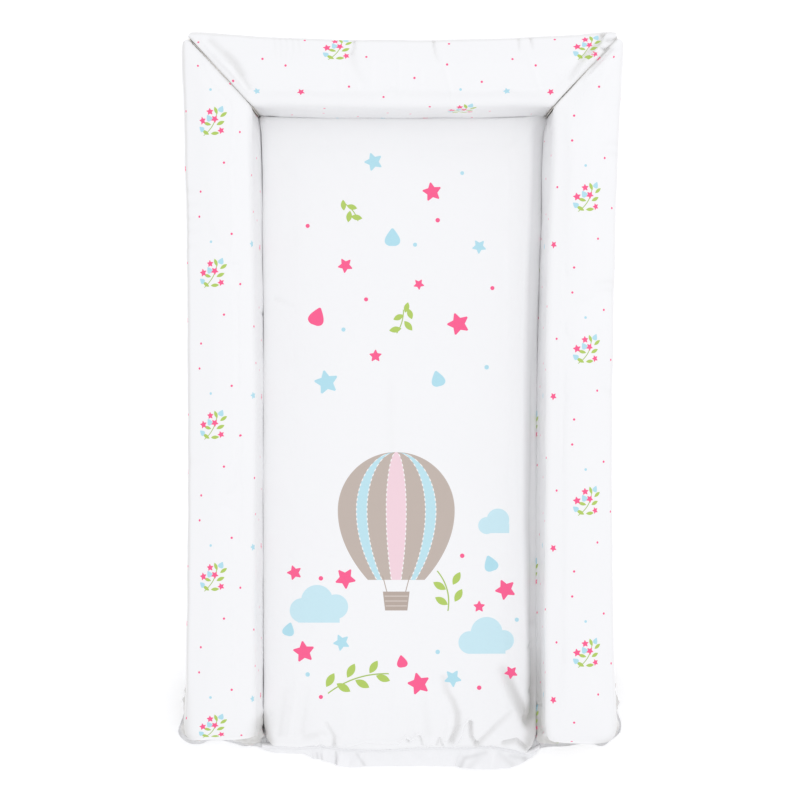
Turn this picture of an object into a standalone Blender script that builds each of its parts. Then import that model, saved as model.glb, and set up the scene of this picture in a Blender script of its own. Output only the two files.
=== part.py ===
# Padded changing mat with three raised sides and an open foot end.
# Metres. +Z is up, +Y is the head end, +X is the right side as seen from the foot.
# The origin is on the floor, in the middle of the mat's footprint.

import math

import bmesh
import bpy
from mathutils import Vector

# Overall size
mat_length = 0.779             # weld margin at the head corners to the free edge of the foot hem
mat_width = 0.470              # across the loose ears at the foot corners
mat_height = 0.085             # floor to the crown of the raised sides

# Plan of the outer edge: how far each corner lies inside half of the overall width
left_head_inset = 0.0070
right_head_inset = 0.0010
left_foot_inset = 0.0095
right_foot_inset = 0.0080

# Width of the raised sides, from the outer edge to the crevice beside the middle
left_head_width = 0.0805       # left side, at its head end
right_head_width = 0.0807
left_foot_width = 0.0806
right_foot_width = 0.0838
head_bolster_depth = 0.0865    # raised head end, along the mat

# Foot end, along the mat from the free edge of the hem
hem_depth = 0.0195             # to the seam where the middle ends
end_setback = 0.0255           # to the loose end of the side covers

# How far the vinyl draws each edge in at the middle of its length
left_waist_draw = 0.0050
right_waist_draw = 0.0083
left_crevice_draw = 0.0019
right_crevice_draw = 0.0050
head_edge_draw = 0.0092

# Sheets and fits
base_thickness = 0.0008
cover_thickness = 0.0006
panel_thickness = 0.0006
weld_thickness = 0.0008        # both plies, fused flat
clearance = 0.0003             # between neighbouring pieces
foam_slack = 0.0004            # extra room for the foam under its cover

# Section of a raised side
outer_tuck = 0.0060            # the outer wall leans in by this much at the floor
inner_wall_run = 0.0085        # the inner wall leans back by this much over its height
outer_shoulder = 0.0095        # width of the rounded edges of the top face
inner_shoulder = 0.0060
foot_shoulder = 0.0070
mitre_shoulder = 0.0030
shoulder_rise = 0.0080
bolster_crown = 0.0032         # the top face swells by this much
hem_stand = 0.0020             # upright margin at the foot of every cover wall
end_skirt = 0.0165             # loose vinyl past the foam at the foot end
mitre_outer_radius = 0.0035    # plan radii of a side cover's corners
mitre_inner_radius = 0.0050
end_inner_radius = 0.0080
end_outer_radius = 0.0140
least_radius = 0.0012

# Loose ear of vinyl at each outer foot corner
ear_length = 0.0640
ear_setback = 0.0260           # middle of the ear, before the end of the cover

# Section of the middle
panel_height = 0.0290          # floor to the crown of the lying surface
panel_crown = 0.0022
panel_shoulder = 0.0135        # width of the rounded edge beside the raised sides
panel_slope = 0.0480           # length of the slope down to the foot seam
panel_head_radius = 0.0090
panel_foot_radius = 0.0180
foot_seam_bow = 0.0030         # the foot seam swells out in its middle
pucker_height = 0.0016         # soft folds that run up from the foot seam
pucker_pitch = 0.0290
pucker_length = 0.1500

# Welds
inner_weld_width = 0.0018
flange_width = 0.0050          # weld margin outside the covers
mitre_gap = 0.0020             # slit between a side cover and the head cover
fold_radius = 0.0015           # rolled fold along the top of the mitre seam
fold_drop = 0.0045             # crown to the middle of the rolled fold
mitre_inner_end = 0.0070       # crevice to the mitre seam's lower corner
mitre_outer_end = 0.0170       # outer corner to the end of the mitre seam

# Foot hem
hem_edge = 0.0014              # sheet edge left at both ends of the hem
hem_left_rise = 0.0800         # length over which the free edge falls away to each end
hem_right_rise = 0.0420
hem_ruffle = 0.0026
hem_ruffle_pitch = 0.0330
hem_inset = 0.0120             # crevice to the end of the hem

# Counts
corner_steps = 3
shoulder_steps = 3
hem_columns = 40
hem_rows = 3
fold_sides = 8

# Places of the points along each side, as shares of its length
long_side_shares = [0.12, 0.24, 0.36, 0.48, 0.60, 0.72, 0.84]
outer_side_shares = [0.022, 0.042, 0.062, 0.085, 0.12, 0.24, 0.38, 0.52, 0.66, 0.80, 0.92]
short_side_shares = [0.33, 0.67]
foot_side_shares = [0.05, 0.10, 0.15, 0.20, 0.25, 0.30, 0.35, 0.40, 0.45, 0.50,
                    0.55, 0.60, 0.65, 0.70, 0.75, 0.80, 0.85, 0.90, 0.95]

# Walls of a raised side: height share, then share of each wall's own lean
wall_height_shares = [0.0, 0.30, 0.70, 1.0]
outer_lean_shares = [1.0, 0.30, 0.0, 0.0]
inner_lean_shares = [0.0, 0.34, 0.80, 1.0]
skirt_shares = [0.0, 0.30, 0.86, 1.0]
loose_shares = [1.0, 0.72, 0.20, 0.0]
crown_inset_shares = [0.42, 0.80]
crown_rise_shares = [0.72, 1.0]

# Walls of the middle: height share, then share of the shoulder and of the foot slope
panel_height_shares = [0.0, 0.40, 0.72, 0.90, 1.0]
panel_shoulder_shares = [0.0, 0.05, 0.22, 0.52, 1.0]
panel_slope_shares = [0.0, 0.10, 0.34, 0.64, 1.0]
panel_crown_inset_shares = [0.16, 0.48, 0.84]
panel_crown_rise_shares = [0.45, 0.85, 1.0]

# Worked out from the above
half_length = mat_length / 2
half_width = mat_width / 2
head_reach = half_length + outer_tuck - flange_width
crevice_head_reach = head_reach - head_bolster_depth
bolster_foot_reach = half_length - end_setback
foot_seam_reach = half_length - hem_depth
rim_height = base_thickness + clearance
shoulder_height = mat_height - bolster_crown - shoulder_rise
foam_inset = cover_thickness + clearance + foam_slack
crevice_margin = inner_weld_width / 2 + clearance
seam_thickness = mitre_gap - 2 * clearance
section_loss = inner_wall_run + inner_shoulder + outer_shoulder
half_top_width = min(left_foot_width - left_waist_draw + left_crevice_draw,
                     right_foot_width - right_waist_draw + right_crevice_draw,
                     head_bolster_depth - head_edge_draw) / 2 - section_loss / 2


def lerp(a, b, share):
    return a + (b - a) * share


def clamp(value):
    return min(1.0, max(0.0, value))


def arch(share):
    """0 at both ends of a length and 1 at its middle."""
    share = clamp(share)
    return 4 * share * (1 - share)


class Hand:
    """The straight plan of one half of the mat, on positive distances from the centre line."""

    def __init__(self, sign, head_inset, foot_inset, head_width, foot_width,
                 waist_draw, crevice_draw):
        self.sign = sign
        self.head = half_width - head_inset
        self.foot = half_width - foot_inset
        self.crevice_head = self.head - head_width
        self.crevice_foot = self.foot - foot_width
        self.waist_draw = waist_draw
        self.crevice_draw = crevice_draw
        middle = ear_setback - bolster_foot_reach
        edge = self.outer(middle) - outer_tuck + flange_width - waist_draw * arch(self.along(middle))
        self.ear = half_width - edge
        self.seam_end = self.crevice(-foot_seam_reach)

    def along(self, y):
        return (y + bolster_foot_reach) / (head_reach + bolster_foot_reach)

    def outer(self, y):
        return lerp(self.foot, self.head, self.along(y))

    def crevice(self, y):
        share = (y + bolster_foot_reach) / (crevice_head_reach + bolster_foot_reach)
        return lerp(self.crevice_foot, self.crevice_head, share)

    def mitre_y(self, distance):
        share = (distance - self.crevice_head) / (self.head - self.crevice_head)
        return lerp(crevice_head_reach, head_reach, share)

    def mitre_distance(self, y):
        share = (y - crevice_head_reach) / (head_reach - crevice_head_reach)
        return lerp(self.crevice_head, self.head, share)


left = Hand(-1, left_head_inset, left_foot_inset, left_head_width, left_foot_width,
            left_waist_draw, left_crevice_draw)
right = Hand(1, right_head_inset, right_foot_inset, right_head_width, right_foot_width,
             right_waist_draw, right_crevice_draw)


def drawn_in(x, y, loose=0.0):
    """Moves a point of the straight plan to where the pulled-in vinyl puts it.

    loose is 1 at the floor, where the foot corners have their loose ears, and 0 on top.
    """
    hand = right if x > 0 else left
    distance = abs(x)
    mitre_y = hand.mitre_y(distance)
    if y > mitre_y and y > crevice_head_reach:
        low = -left.mitre_distance(y)
        high = right.mitre_distance(y)
        width = clamp((y - crevice_head_reach) / (head_reach - crevice_head_reach))
        return x, y - head_edge_draw * width * arch((x - low) / (high - low))
    crevice = hand.crevice(y)
    top = mitre_y if distance > crevice else crevice_head_reach
    bow = arch((y + bolster_foot_reach) / (top + bolster_foot_reach))
    if distance <= crevice:
        return x - hand.sign * hand.crevice_draw * bow * distance / crevice, y
    width = clamp((distance - crevice) / (hand.outer(y) - crevice))
    moved = lerp(hand.crevice_draw, hand.waist_draw, width) * bow
    ear_share = clamp((y + bolster_foot_reach - ear_setback) / ear_length + 0.5)
    moved -= hand.ear * loose * width ** 4 * math.sin(ear_share * math.pi) ** 2
    return x - hand.sign * moved, y


class Side:
    """A straight side of a plan outline, running anticlockwise, with its own offset."""

    def __init__(self, start, end, offset):
        direction = (Vector(end) - Vector(start)).normalized()
        outward = Vector((direction.y, -direction.x))
        self.point = Vector(start) + outward * offset
        self.direction = direction

    def meet(self, other):
        gap = other.point - self.point
        cross = self.direction.cross(other.direction)
        return self.point + self.direction * (gap.cross(other.direction) / cross)


def rounded_corner(before, corner, after, radius):
    """Points of the arc that rounds one corner of an outline."""
    to_before = (before - corner).normalized()
    to_after = (after - corner).normalized()
    half_angle = to_before.angle(to_after) / 2
    reach = radius / math.tan(half_angle)
    centre = corner + (to_before + to_after).normalized() * (radius / math.sin(half_angle))
    first = corner + to_before * reach - centre
    turn = math.pi - 2 * half_angle
    points = []
    for step in range(corner_steps + 1):
        angle = turn * step / corner_steps
        spoke = Vector((first.x * math.cos(angle) - first.y * math.sin(angle),
                        first.x * math.sin(angle) + first.y * math.cos(angle)))
        points.append(centre + spoke)
    return points


def outline(sides, radii, shares):
    """Arcs and runs of a closed outline: radii[i] rounds the corner that side i starts from."""
    count = len(sides)
    corners = [sides[i - 1].meet(sides[i]) for i in range(count)]
    arcs = [rounded_corner(corners[i - 1], corners[i], corners[(i + 1) % count], radii[i])
            for i in range(count)]
    runs = []
    for i in range(count):
        start = arcs[i][-1]
        end = arcs[(i + 1) % count][0]
        runs.append([start.lerp(end, share) for share in shares[i]])
    return arcs, runs


def around(arcs, runs):
    """The points of an outline in order."""
    points = []
    for arc, run in zip(arcs, runs):
        points += arc + run
    return points


class Level:
    """One height of a padded form, with the offset of each of its walls by name."""

    def __init__(self, height, offsets, shrink=0.0, loose=0.0):
        self.height = height
        self.offsets = offsets
        self.shrink = shrink
        self.loose = loose

    def grown(self, inward, rise):
        """A level further in and higher up, as on a crowned top."""
        offsets = {wall: offset - inward for wall, offset in self.offsets.items()}
        return Level(self.height + rise, offsets, self.shrink + inward)


def bolster_levels(inset):
    """Levels of a raised side, from its open lower edge to its crown.

    inset is 0 for the cover's outer surface and larger for the foam inside it.
    """
    foam = inset > 0
    levels = []
    walls = zip(wall_height_shares, outer_lean_shares, inner_lean_shares, skirt_shares, loose_shares)
    for height, outer, inner, skirt, loose in walls:
        z = lerp(rim_height, shoulder_height, height)
        loose_end = end_skirt if foam else end_skirt * skirt
        offsets = {"outer": -outer_tuck * outer - inset,
                   "inner": -lerp(crevice_margin, inner_wall_run, inner) - inset,
                   "mitre": -mitre_gap / 2 - inset,
                   "foot": -loose_end - inset}
        slack = 0.0 if foam else loose
        levels.append(Level(z, offsets, loose=slack))
        if height == 0:
            levels.append(Level(z + hem_stand, offsets, loose=slack))
    for step in range(1, shoulder_steps + 1):
        angle = step / shoulder_steps * math.pi / 2
        back = 1 - math.cos(angle)
        offsets = {"outer": -outer_shoulder * back - inset,
                   "inner": -inner_wall_run - inner_shoulder * back - inset,
                   "mitre": -mitre_gap / 2 - mitre_shoulder * back - inset,
                   "foot": -end_skirt - foot_shoulder * back - inset}
        levels.append(Level(shoulder_height + shoulder_rise * math.sin(angle) - inset,
                            offsets, shrink=mitre_shoulder * back))
    edge = levels[-1]
    for across, rise in zip(crown_inset_shares, crown_rise_shares):
        levels.append(edge.grown(half_top_width * across, bolster_crown * rise))
    return levels


def side_outline(hand, offsets, shrink=0.0):
    """Plan of a side bolster, drawn on the left: crevice, mitre, outer edge, foot end."""
    foot_y = -bolster_foot_reach
    inner_foot = (-hand.crevice_foot, foot_y)
    inner_head = (-hand.crevice_head, crevice_head_reach)
    outer_head = (-hand.head, head_reach)
    outer_foot = (-hand.foot, foot_y)
    sides = [Side(inner_foot, inner_head, offsets["inner"]),
             Side(inner_head, outer_head, offsets["mitre"]),
             Side(outer_head, outer_foot, offsets["outer"]),
             Side(outer_foot, inner_foot, offsets["foot"])]
    radii = [max(radius - shrink, least_radius) for radius in
             (end_inner_radius, mitre_inner_radius, mitre_outer_radius, end_outer_radius)]
    from_head_shares = [1 - share for share in reversed(outer_side_shares)]
    return outline(sides, radii,
                   [long_side_shares, short_side_shares, from_head_shares, short_side_shares])


def side_ring(hand, level):
    """Outline of a side bolster at one level, as points in space."""
    plan = around(*side_outline(hand, level.offsets, level.shrink))
    if hand.sign > 0:
        plan = [Vector((-point.x, point.y)) for point in reversed(plan)]
    return [Vector((*drawn_in(point.x, point.y, level.loose), level.height)) for point in plan]


def head_outline(offsets, shrink=0.0):
    """Plan of the head bolster: crevice, right mitre, outer edge, left mitre."""
    outer_left = (-left.head, head_reach)
    outer_right = (right.head, head_reach)
    inner_left = (-left.crevice_head, crevice_head_reach)
    inner_right = (right.crevice_head, crevice_head_reach)
    sides = [Side(inner_left, inner_right, offsets["inner"]),
             Side(inner_right, outer_right, offsets["mitre"]),
             Side(outer_right, outer_left, offsets["outer"]),
             Side(outer_left, inner_left, offsets["mitre"])]
    radii = [max(radius - shrink, least_radius) for radius in
             (mitre_inner_radius, mitre_inner_radius, mitre_outer_radius, mitre_outer_radius)]
    return outline(sides, radii,
                   [long_side_shares, short_side_shares, long_side_shares, short_side_shares])


def head_ring(level):
    """Outline of the head bolster at one level, as points in space."""
    plan = around(*head_outline(level.offsets, level.shrink))
    return [Vector((*drawn_in(point.x, point.y), level.height)) for point in plan]


def panel_levels(inset):
    """Levels of the middle, from its lower edge to its crown."""
    top = panel_height - panel_crown
    levels = []
    shares = zip(panel_height_shares, panel_shoulder_shares, panel_slope_shares)
    for height, shoulder, slope in shares:
        drop = inset if height > 0 else 0.0
        side = -crevice_margin - panel_shoulder * shoulder - inset
        offsets = {"side": side, "head": side, "foot": -panel_slope * slope - inset}
        levels.append(Level(lerp(rim_height, top, height) - drop, offsets,
                            shrink=panel_shoulder * shoulder / 2))
    edge = levels[-1]
    half_top = min(left.crevice_foot, right.crevice_foot) - panel_shoulder
    for across, rise in zip(panel_crown_inset_shares, panel_crown_rise_shares):
        levels.append(edge.grown(half_top * across, panel_crown * rise))
    return levels


def panel_ring(level):
    """Outline of the middle at one level, with the soft folds that rise from its foot seam."""
    head_left = (-left.crevice_head, crevice_head_reach)
    head_right = (right.crevice_head, crevice_head_reach)
    foot_left = (-left.seam_end, -foot_seam_reach)
    foot_right = (right.seam_end, -foot_seam_reach)
    sides = [Side(foot_left, foot_right, level.offsets["foot"]),
             Side(foot_right, head_right, level.offsets["side"]),
             Side(head_right, head_left, level.offsets["head"]),
             Side(head_left, foot_left, level.offsets["side"])]
    foot_radius = max(panel_foot_radius - level.shrink, least_radius)
    head_radius = max(panel_head_radius - level.shrink, least_radius)
    plan = around(*outline(sides, [foot_radius, foot_radius, head_radius, head_radius],
                           [foot_side_shares, long_side_shares, short_side_shares, long_side_shares]))
    ring = []
    for point in plan:
        x, y = drawn_in(point.x, point.y)
        from_foot = clamp((y + foot_seam_reach) / pucker_length)
        across = (x + left.seam_end) / (left.seam_end + right.seam_end)
        y -= foot_seam_bow * arch(across) * (1 - from_foot)
        fold = math.cos(2 * math.pi * x / pucker_pitch) * (1 - from_foot) * arch(across)
        lifted = clamp((level.height - rim_height) / panel_height)
        ring.append(Vector((x, y, level.height + pucker_height * fold * lifted)))
    return ring


def lofted(rings, floor):
    """A mesh through closed rings of equal length, from the lowest up, capped on top."""
    shape = bmesh.new()
    loops = [[shape.verts.new(point) for point in ring] for ring in rings]
    count = len(loops[0])
    for lower, upper in zip(loops, loops[1:]):
        for i in range(count):
            j = (i + 1) % count
            shape.faces.new((lower[i], lower[j], upper[j], upper[i]))
    shape.faces.new(loops[-1])
    if floor:
        shape.faces.new(list(reversed(loops[0])))
    return shape


def material(name, colour, roughness):
    finish = bpy.data.materials.new(name)
    finish.use_nodes = True
    shader = finish.node_tree.nodes["Principled BSDF"]
    shader.inputs["Base Color"].default_value = (*colour, 1.0)
    shader.inputs["Roughness"].default_value = roughness
    shader.inputs["Metallic"].default_value = 0.0
    finish.diffuse_color = (*colour, 1.0)
    return finish


def place(name, shape, finish, smooth=True):
    """Makes a named object of a bmesh."""
    mesh = bpy.data.meshes.new(name)
    shape.to_mesh(mesh)
    shape.free()
    mesh.materials.append(finish)
    if smooth:
        mesh.shade_smooth()
        mesh.set_sharp_from_angle(angle=math.radians(40))
    thing = bpy.data.objects.new(name, mesh)
    bpy.context.scene.collection.objects.link(thing)
    return thing


def thicken(thing, thickness, offset=-1.0):
    """Gives a sheet its wall; offset -1 puts it on the inner side."""
    wall = thing.modifiers.new("wall", "SOLIDIFY")
    wall.thickness = thickness
    wall.offset = offset
    wall.use_even_offset = True


def side_cover(name, hand, finish):
    rings = [side_ring(hand, level) for level in bolster_levels(0.0)]
    thicken(place(name, lofted(rings, floor=False), finish), cover_thickness)


def side_foam(name, hand, finish):
    rings = [side_ring(hand, level) for level in bolster_levels(foam_inset)]
    place(name, lofted(rings, floor=True), finish)


def head_cover(finish):
    rings = [head_ring(level) for level in bolster_levels(0.0)]
    thicken(place("head_cover", lofted(rings, floor=False), finish), cover_thickness)


def head_foam(finish):
    rings = [head_ring(level) for level in bolster_levels(foam_inset)]
    place("head_foam", lofted(rings, floor=True), finish)


def centre_panel(finish):
    rings = [panel_ring(level) for level in panel_levels(0.0)]
    thicken(place("centre_panel", lofted(rings, floor=False), finish), panel_thickness)


def centre_foam(finish):
    inset = panel_thickness + clearance + foam_slack
    rings = [panel_ring(level) for level in panel_levels(inset)]
    place("centre_foam", lofted(rings, floor=True), finish)


def rim_path(margin):
    """The outer edge at floor level, from the left foot end round the head to the right foot end.

    margin is the distance outside the covers' lower edges.
    """
    offsets = dict(bolster_levels(0.0)[0].offsets)
    offsets["outer"] += margin
    offsets["foot"] += margin
    halves = []
    for hand in (left, right):
        arcs, runs = side_outline(hand, offsets)
        along = Side((-hand.head, head_reach), (-hand.foot, -bolster_foot_reach), offsets["outer"])
        across = Side((0.0, head_reach), (-hand.head, head_reach), offsets["outer"])
        half = [across.meet(along), arcs[2][-1]] + runs[2] + arcs[3] + runs[3] + [arcs[0][0]]
        halves.append([Vector((-hand.sign * point.x, point.y)) for point in half])
    arcs, runs = head_outline(offsets)
    head = [arcs[2][-1]] + runs[2] + [arcs[3][0]]
    path = list(reversed(halves[0])) + list(reversed(head)) + halves[1]
    return [Vector(drawn_in(point.x, point.y, 1.0)) for point in path]


def ribbon(inner, outer, low, thickness):
    """A flat strip between two paths of equal length."""
    shape = bmesh.new()
    rows = []
    for path in (inner, outer):
        for z in (low, low + thickness):
            rows.append([shape.verts.new((point.x, point.y, z)) for point in path])
    inner_low, inner_high, outer_low, outer_high = rows
    last = len(inner) - 1
    for i in range(last):
        shape.faces.new((inner_high[i], inner_high[i + 1], outer_high[i + 1], outer_high[i]))
        shape.faces.new((inner_low[i], outer_low[i], outer_low[i + 1], inner_low[i + 1]))
        shape.faces.new((inner_low[i], inner_low[i + 1], inner_high[i + 1], inner_high[i]))
        shape.faces.new((outer_low[i], outer_high[i], outer_high[i + 1], outer_low[i + 1]))
    shape.faces.new((inner_low[0], inner_high[0], outer_high[0], outer_low[0]))
    shape.faces.new((inner_low[last], outer_low[last], outer_high[last], inner_high[last]))
    bmesh.ops.recalc_face_normals(shape, faces=shape.faces)
    return shape


def perimeter_weld(finish):
    inner = rim_path(2 * clearance)
    outer = rim_path(flange_width)
    place("perimeter_weld", ribbon(inner, outer, rim_height, weld_thickness), finish, smooth=False)


def crevice_path(offset):
    """The crevice, from its left foot end round the head to its right foot end."""
    foot_y = -bolster_foot_reach
    sides = []
    for hand in (left, right):
        foot = (hand.sign * hand.crevice_foot, foot_y)
        head = (hand.sign * hand.crevice_head, crevice_head_reach)
        sides.append(Side(foot, head, offset) if hand is right else Side(head, foot, offset))
    top = Side((right.crevice_head, crevice_head_reach), (-left.crevice_head, crevice_head_reach), offset)
    bottom = Side((-left.crevice_foot, foot_y), (right.crevice_foot, foot_y), 0.0)
    radius = panel_head_radius + crevice_margin + offset
    arcs, runs = outline([bottom, sides[1], top, sides[0]], [least_radius, least_radius, radius, radius],
                         [short_side_shares, long_side_shares, short_side_shares, long_side_shares])
    path = [arcs[1][-1]] + runs[1] + arcs[2] + runs[2] + arcs[3] + runs[3] + [arcs[0][0]]
    return [Vector(drawn_in(point.x, point.y)) for point in path]


def inner_weld(finish):
    inner = crevice_path(-inner_weld_width / 2)
    outer = crevice_path(inner_weld_width / 2)
    place("inner_weld", ribbon(inner, outer, rim_height, weld_thickness), finish, smooth=False)


def base_sheet(finish):
    """The flat sheet underneath, out to the edge of the weld margin and to the foot seam."""
    edge = rim_path(flange_width)
    seam = []
    reach = foot_seam_reach + clearance
    low = -left.seam_end - crevice_margin
    high = right.seam_end + crevice_margin
    for share in [0.0] + foot_side_shares + [1.0]:
        seam.append(Vector((lerp(high, low, share), -reach - foot_seam_bow * arch(share))))
    shape = bmesh.new()
    bottom = [shape.verts.new((point.x, point.y, 0.0)) for point in reversed(edge + seam)]
    face = shape.faces.new(bottom)
    face.normal_update()
    if face.normal.z > 0:
        face.normal_flip()
    thing = place("base_sheet", shape, finish, smooth=False)
    thicken(thing, base_thickness)


def fold_section():
    """Section of a mitre seam: a thin web with a rolled fold on top, as (across, up) points."""
    half = seam_thickness / 2
    fold_height = mat_height - fold_drop
    neck = math.asin(half / fold_radius)
    points = [(-half, rim_height), (half, rim_height)]
    for step in range(fold_sides + 1):
        angle = -math.pi / 2 + lerp(neck, 2 * math.pi - neck, step / fold_sides)
        points.append((fold_radius * math.cos(angle), fold_height + fold_radius * math.sin(angle)))
    return points


def mitre_seam(name, hand, finish):
    """Folded vinyl standing in the slit at a head corner, between two covers."""
    start = Vector((hand.crevice_head, crevice_head_reach))
    end = Vector((hand.head, head_reach))
    direction = (end - start).normalized()
    across = Vector((-direction.y, direction.x))
    lean = inner_wall_run / direction.x
    outer_end = (end - start).length - mitre_outer_end
    shape = bmesh.new()
    inner_loop = []
    outer_loop = []
    for aside, up in fold_section():
        climbed = clamp((up - rim_height) / (shoulder_height - rim_height))
        inner_end = mitre_inner_end + lean * climbed
        for distance, loop in ((inner_end, inner_loop), (outer_end, outer_loop)):
            point = start + direction * distance + across * aside
            loop.append(shape.verts.new((hand.sign * point.x, point.y, up)))
    count = len(inner_loop)
    for i in range(count):
        j = (i + 1) % count
        shape.faces.new((inner_loop[i], inner_loop[j], outer_loop[j], outer_loop[i]))
    shape.faces.new(inner_loop)
    shape.faces.new(outer_loop)
    bmesh.ops.recalc_face_normals(shape, faces=shape.faces)
    place(name, shape, finish)


def hem_reach(x):
    """Depth share of the foot hem at x: full in the middle and falling away to both ends."""
    low = -left.seam_end + hem_inset
    high = right.seam_end - hem_inset
    rise = min(clamp((x - low) / hem_left_rise), clamp((high - x) / hem_right_rise))
    return math.sin(rise * math.pi / 2)


def foot_hem(finish):
    """The ruffled welded edge beyond the foot seam."""
    low = -left.seam_end + hem_inset
    high = right.seam_end - hem_inset
    shape = bmesh.new()
    rows = []
    for row in range(hem_rows + 1):
        out = row / hem_rows
        line = []
        for column in range(hem_columns + 1):
            x = lerp(low, high, column / hem_columns)
            across = (x + left.seam_end) / (left.seam_end + right.seam_end)
            seam = foot_seam_reach + 2 * clearance + foot_seam_bow * arch(across)
            edge = lerp(seam + hem_edge, half_length, hem_reach(x))
            ruffle = 0.5 - 0.5 * math.cos(2 * math.pi * (x - low) / hem_ruffle_pitch)
            line.append(shape.verts.new((x, -lerp(seam, edge, out), hem_ruffle * ruffle * out ** 2)))
        rows.append(line)
    for upper, lower in zip(rows, rows[1:]):
        for i in range(hem_columns):
            shape.faces.new((lower[i], lower[i + 1], upper[i + 1], upper[i]))
    thing = place("foot_hem", shape, finish)
    thicken(thing, weld_thickness, offset=1.0)


def build():
    for thing in list(bpy.data.objects):
        bpy.data.objects.remove(thing)
    printed = material("printed vinyl", (0.90, 0.90, 0.91), 0.35)
    panel_vinyl = material("centre vinyl", (0.93, 0.93, 0.94), 0.22)
    base_vinyl = material("base vinyl", (0.86, 0.86, 0.88), 0.45)
    weld = material("welded vinyl", (0.84, 0.84, 0.87), 0.30)
    foam = material("foam", (0.80, 0.79, 0.72), 0.95)
    base_sheet(base_vinyl)
    centre_foam(foam)
    side_foam("left_side_foam", left, foam)
    side_foam("right_side_foam", right, foam)
    head_foam(foam)
    centre_panel(panel_vinyl)
    side_cover("left_side_cover", left, printed)
    side_cover("right_side_cover", right, printed)
    head_cover(printed)
    inner_weld(weld)
    perimeter_weld(weld)
    mitre_seam("left_mitre_seam", left, weld)
    mitre_seam("right_mitre_seam", right, weld)
    foot_hem(weld)


build()
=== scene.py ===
import math
import bmesh
import bpy
import numpy as np
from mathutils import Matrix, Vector


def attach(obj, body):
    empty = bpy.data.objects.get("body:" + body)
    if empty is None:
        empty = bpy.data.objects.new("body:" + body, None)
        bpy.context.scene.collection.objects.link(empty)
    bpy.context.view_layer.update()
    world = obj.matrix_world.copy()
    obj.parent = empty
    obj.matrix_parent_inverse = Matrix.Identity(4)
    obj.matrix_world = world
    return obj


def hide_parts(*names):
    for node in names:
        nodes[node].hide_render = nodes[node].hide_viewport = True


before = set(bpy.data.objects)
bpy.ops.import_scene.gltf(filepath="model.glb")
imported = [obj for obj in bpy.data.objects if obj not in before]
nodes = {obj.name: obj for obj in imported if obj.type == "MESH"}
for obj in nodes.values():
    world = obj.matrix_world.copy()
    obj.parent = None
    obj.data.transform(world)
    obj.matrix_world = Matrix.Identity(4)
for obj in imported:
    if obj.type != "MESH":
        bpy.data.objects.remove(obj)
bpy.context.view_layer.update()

# Metres. +Y is the head end, +X the right side, the floor is at z = 0.
# Tables of places on the mat are in millimetres, and mm turns them into metres.

mm = 0.001
bpy.ops.object.select_all(action="DESELECT")


# Steps that every piece uses.
def pointsOf(piece):
    flat = np.zeros(len(piece.data.vertices) * 3)
    piece.data.vertices.foreach_get("co", flat)
    return flat.reshape(-1, 3)


def setPoints(piece, points):
    piece.data.vertices.foreach_set("co", np.ascontiguousarray(points, dtype=np.float32).ravel())
    piece.data.update()


def normalsOf(piece):
    flat = np.zeros(len(piece.data.vertices) * 3, np.float32)
    piece.data.vertex_normals.foreach_get("vector", flat)
    return flat.reshape(-1, 3).astype(float)


def selectOnly(piece):
    bpy.ops.object.select_all(action="DESELECT")
    piece.select_set(True)
    bpy.context.view_layer.objects.active = piece


def modified(piece, kind, **settings):
    modifier = piece.modifiers.new("step", kind)
    for name, value in settings.items():
        setattr(modifier, name, value)
    selectOnly(piece)
    bpy.ops.object.modifier_apply(modifier=modifier.name)


def eased(values, low, high):
    share = np.clip((values - low) / (high - low), 0.0, 1.0)
    return share * share * (3 - 2 * share)


def between(values, table):
    # reads a table of (place, value) pairs, both in millimetres, at places in metres
    places, sizes = np.array(table, float).T * mm
    return np.interp(values, places, sizes)


def everywhere(piece, operator, **settings):
    # runs an edit-mode operator on the whole mesh
    selectOnly(piece)
    bpy.ops.object.mode_set(mode="EDIT")
    bpy.ops.mesh.select_all(action="SELECT")
    operator(**settings)
    bpy.ops.object.mode_set(mode="OBJECT")


def smoothed(piece, repeat):
    everywhere(piece, bpy.ops.mesh.vertices_smooth, factor=0.5, repeat=repeat)


def shadedSmooth(piece, angle=None):
    selectOnly(piece)
    bpy.ops.object.shade_smooth()
    if angle:
        bpy.ops.object.shade_smooth_by_angle(angle=math.radians(angle))


def subdivided(piece):
    modified(piece, "SUBSURF", levels=1, render_levels=1)


def pushed(piece, depth):
    # moves every point outwards along its normal
    setPoints(piece, pointsOf(piece) + normalsOf(piece) * depth[:, None])


def reachOf(line):
    return np.concatenate([[0.0], np.cumsum(np.linalg.norm(np.diff(line, axis=0), axis=1))])


def sharesOf(line, count):
    # a line at a given number of even places
    reach = reachOf(line)
    places = np.linspace(0.0, reach[-1], count)
    return np.stack([np.interp(places, reach, line[:, k]) for k in range(line.shape[1])], axis=1)


def evenly(points, step):
    # a table of points as an even, slightly rounded line, in metres
    line = np.array(points, float) * mm
    line = sharesOf(line, int(reachOf(line)[-1] / (step * mm)) + 2)
    for _ in range(3):
        line[1:-1] = line[1:-1] / 2 + (line[:-2] + line[2:]) / 4
    return line


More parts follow.
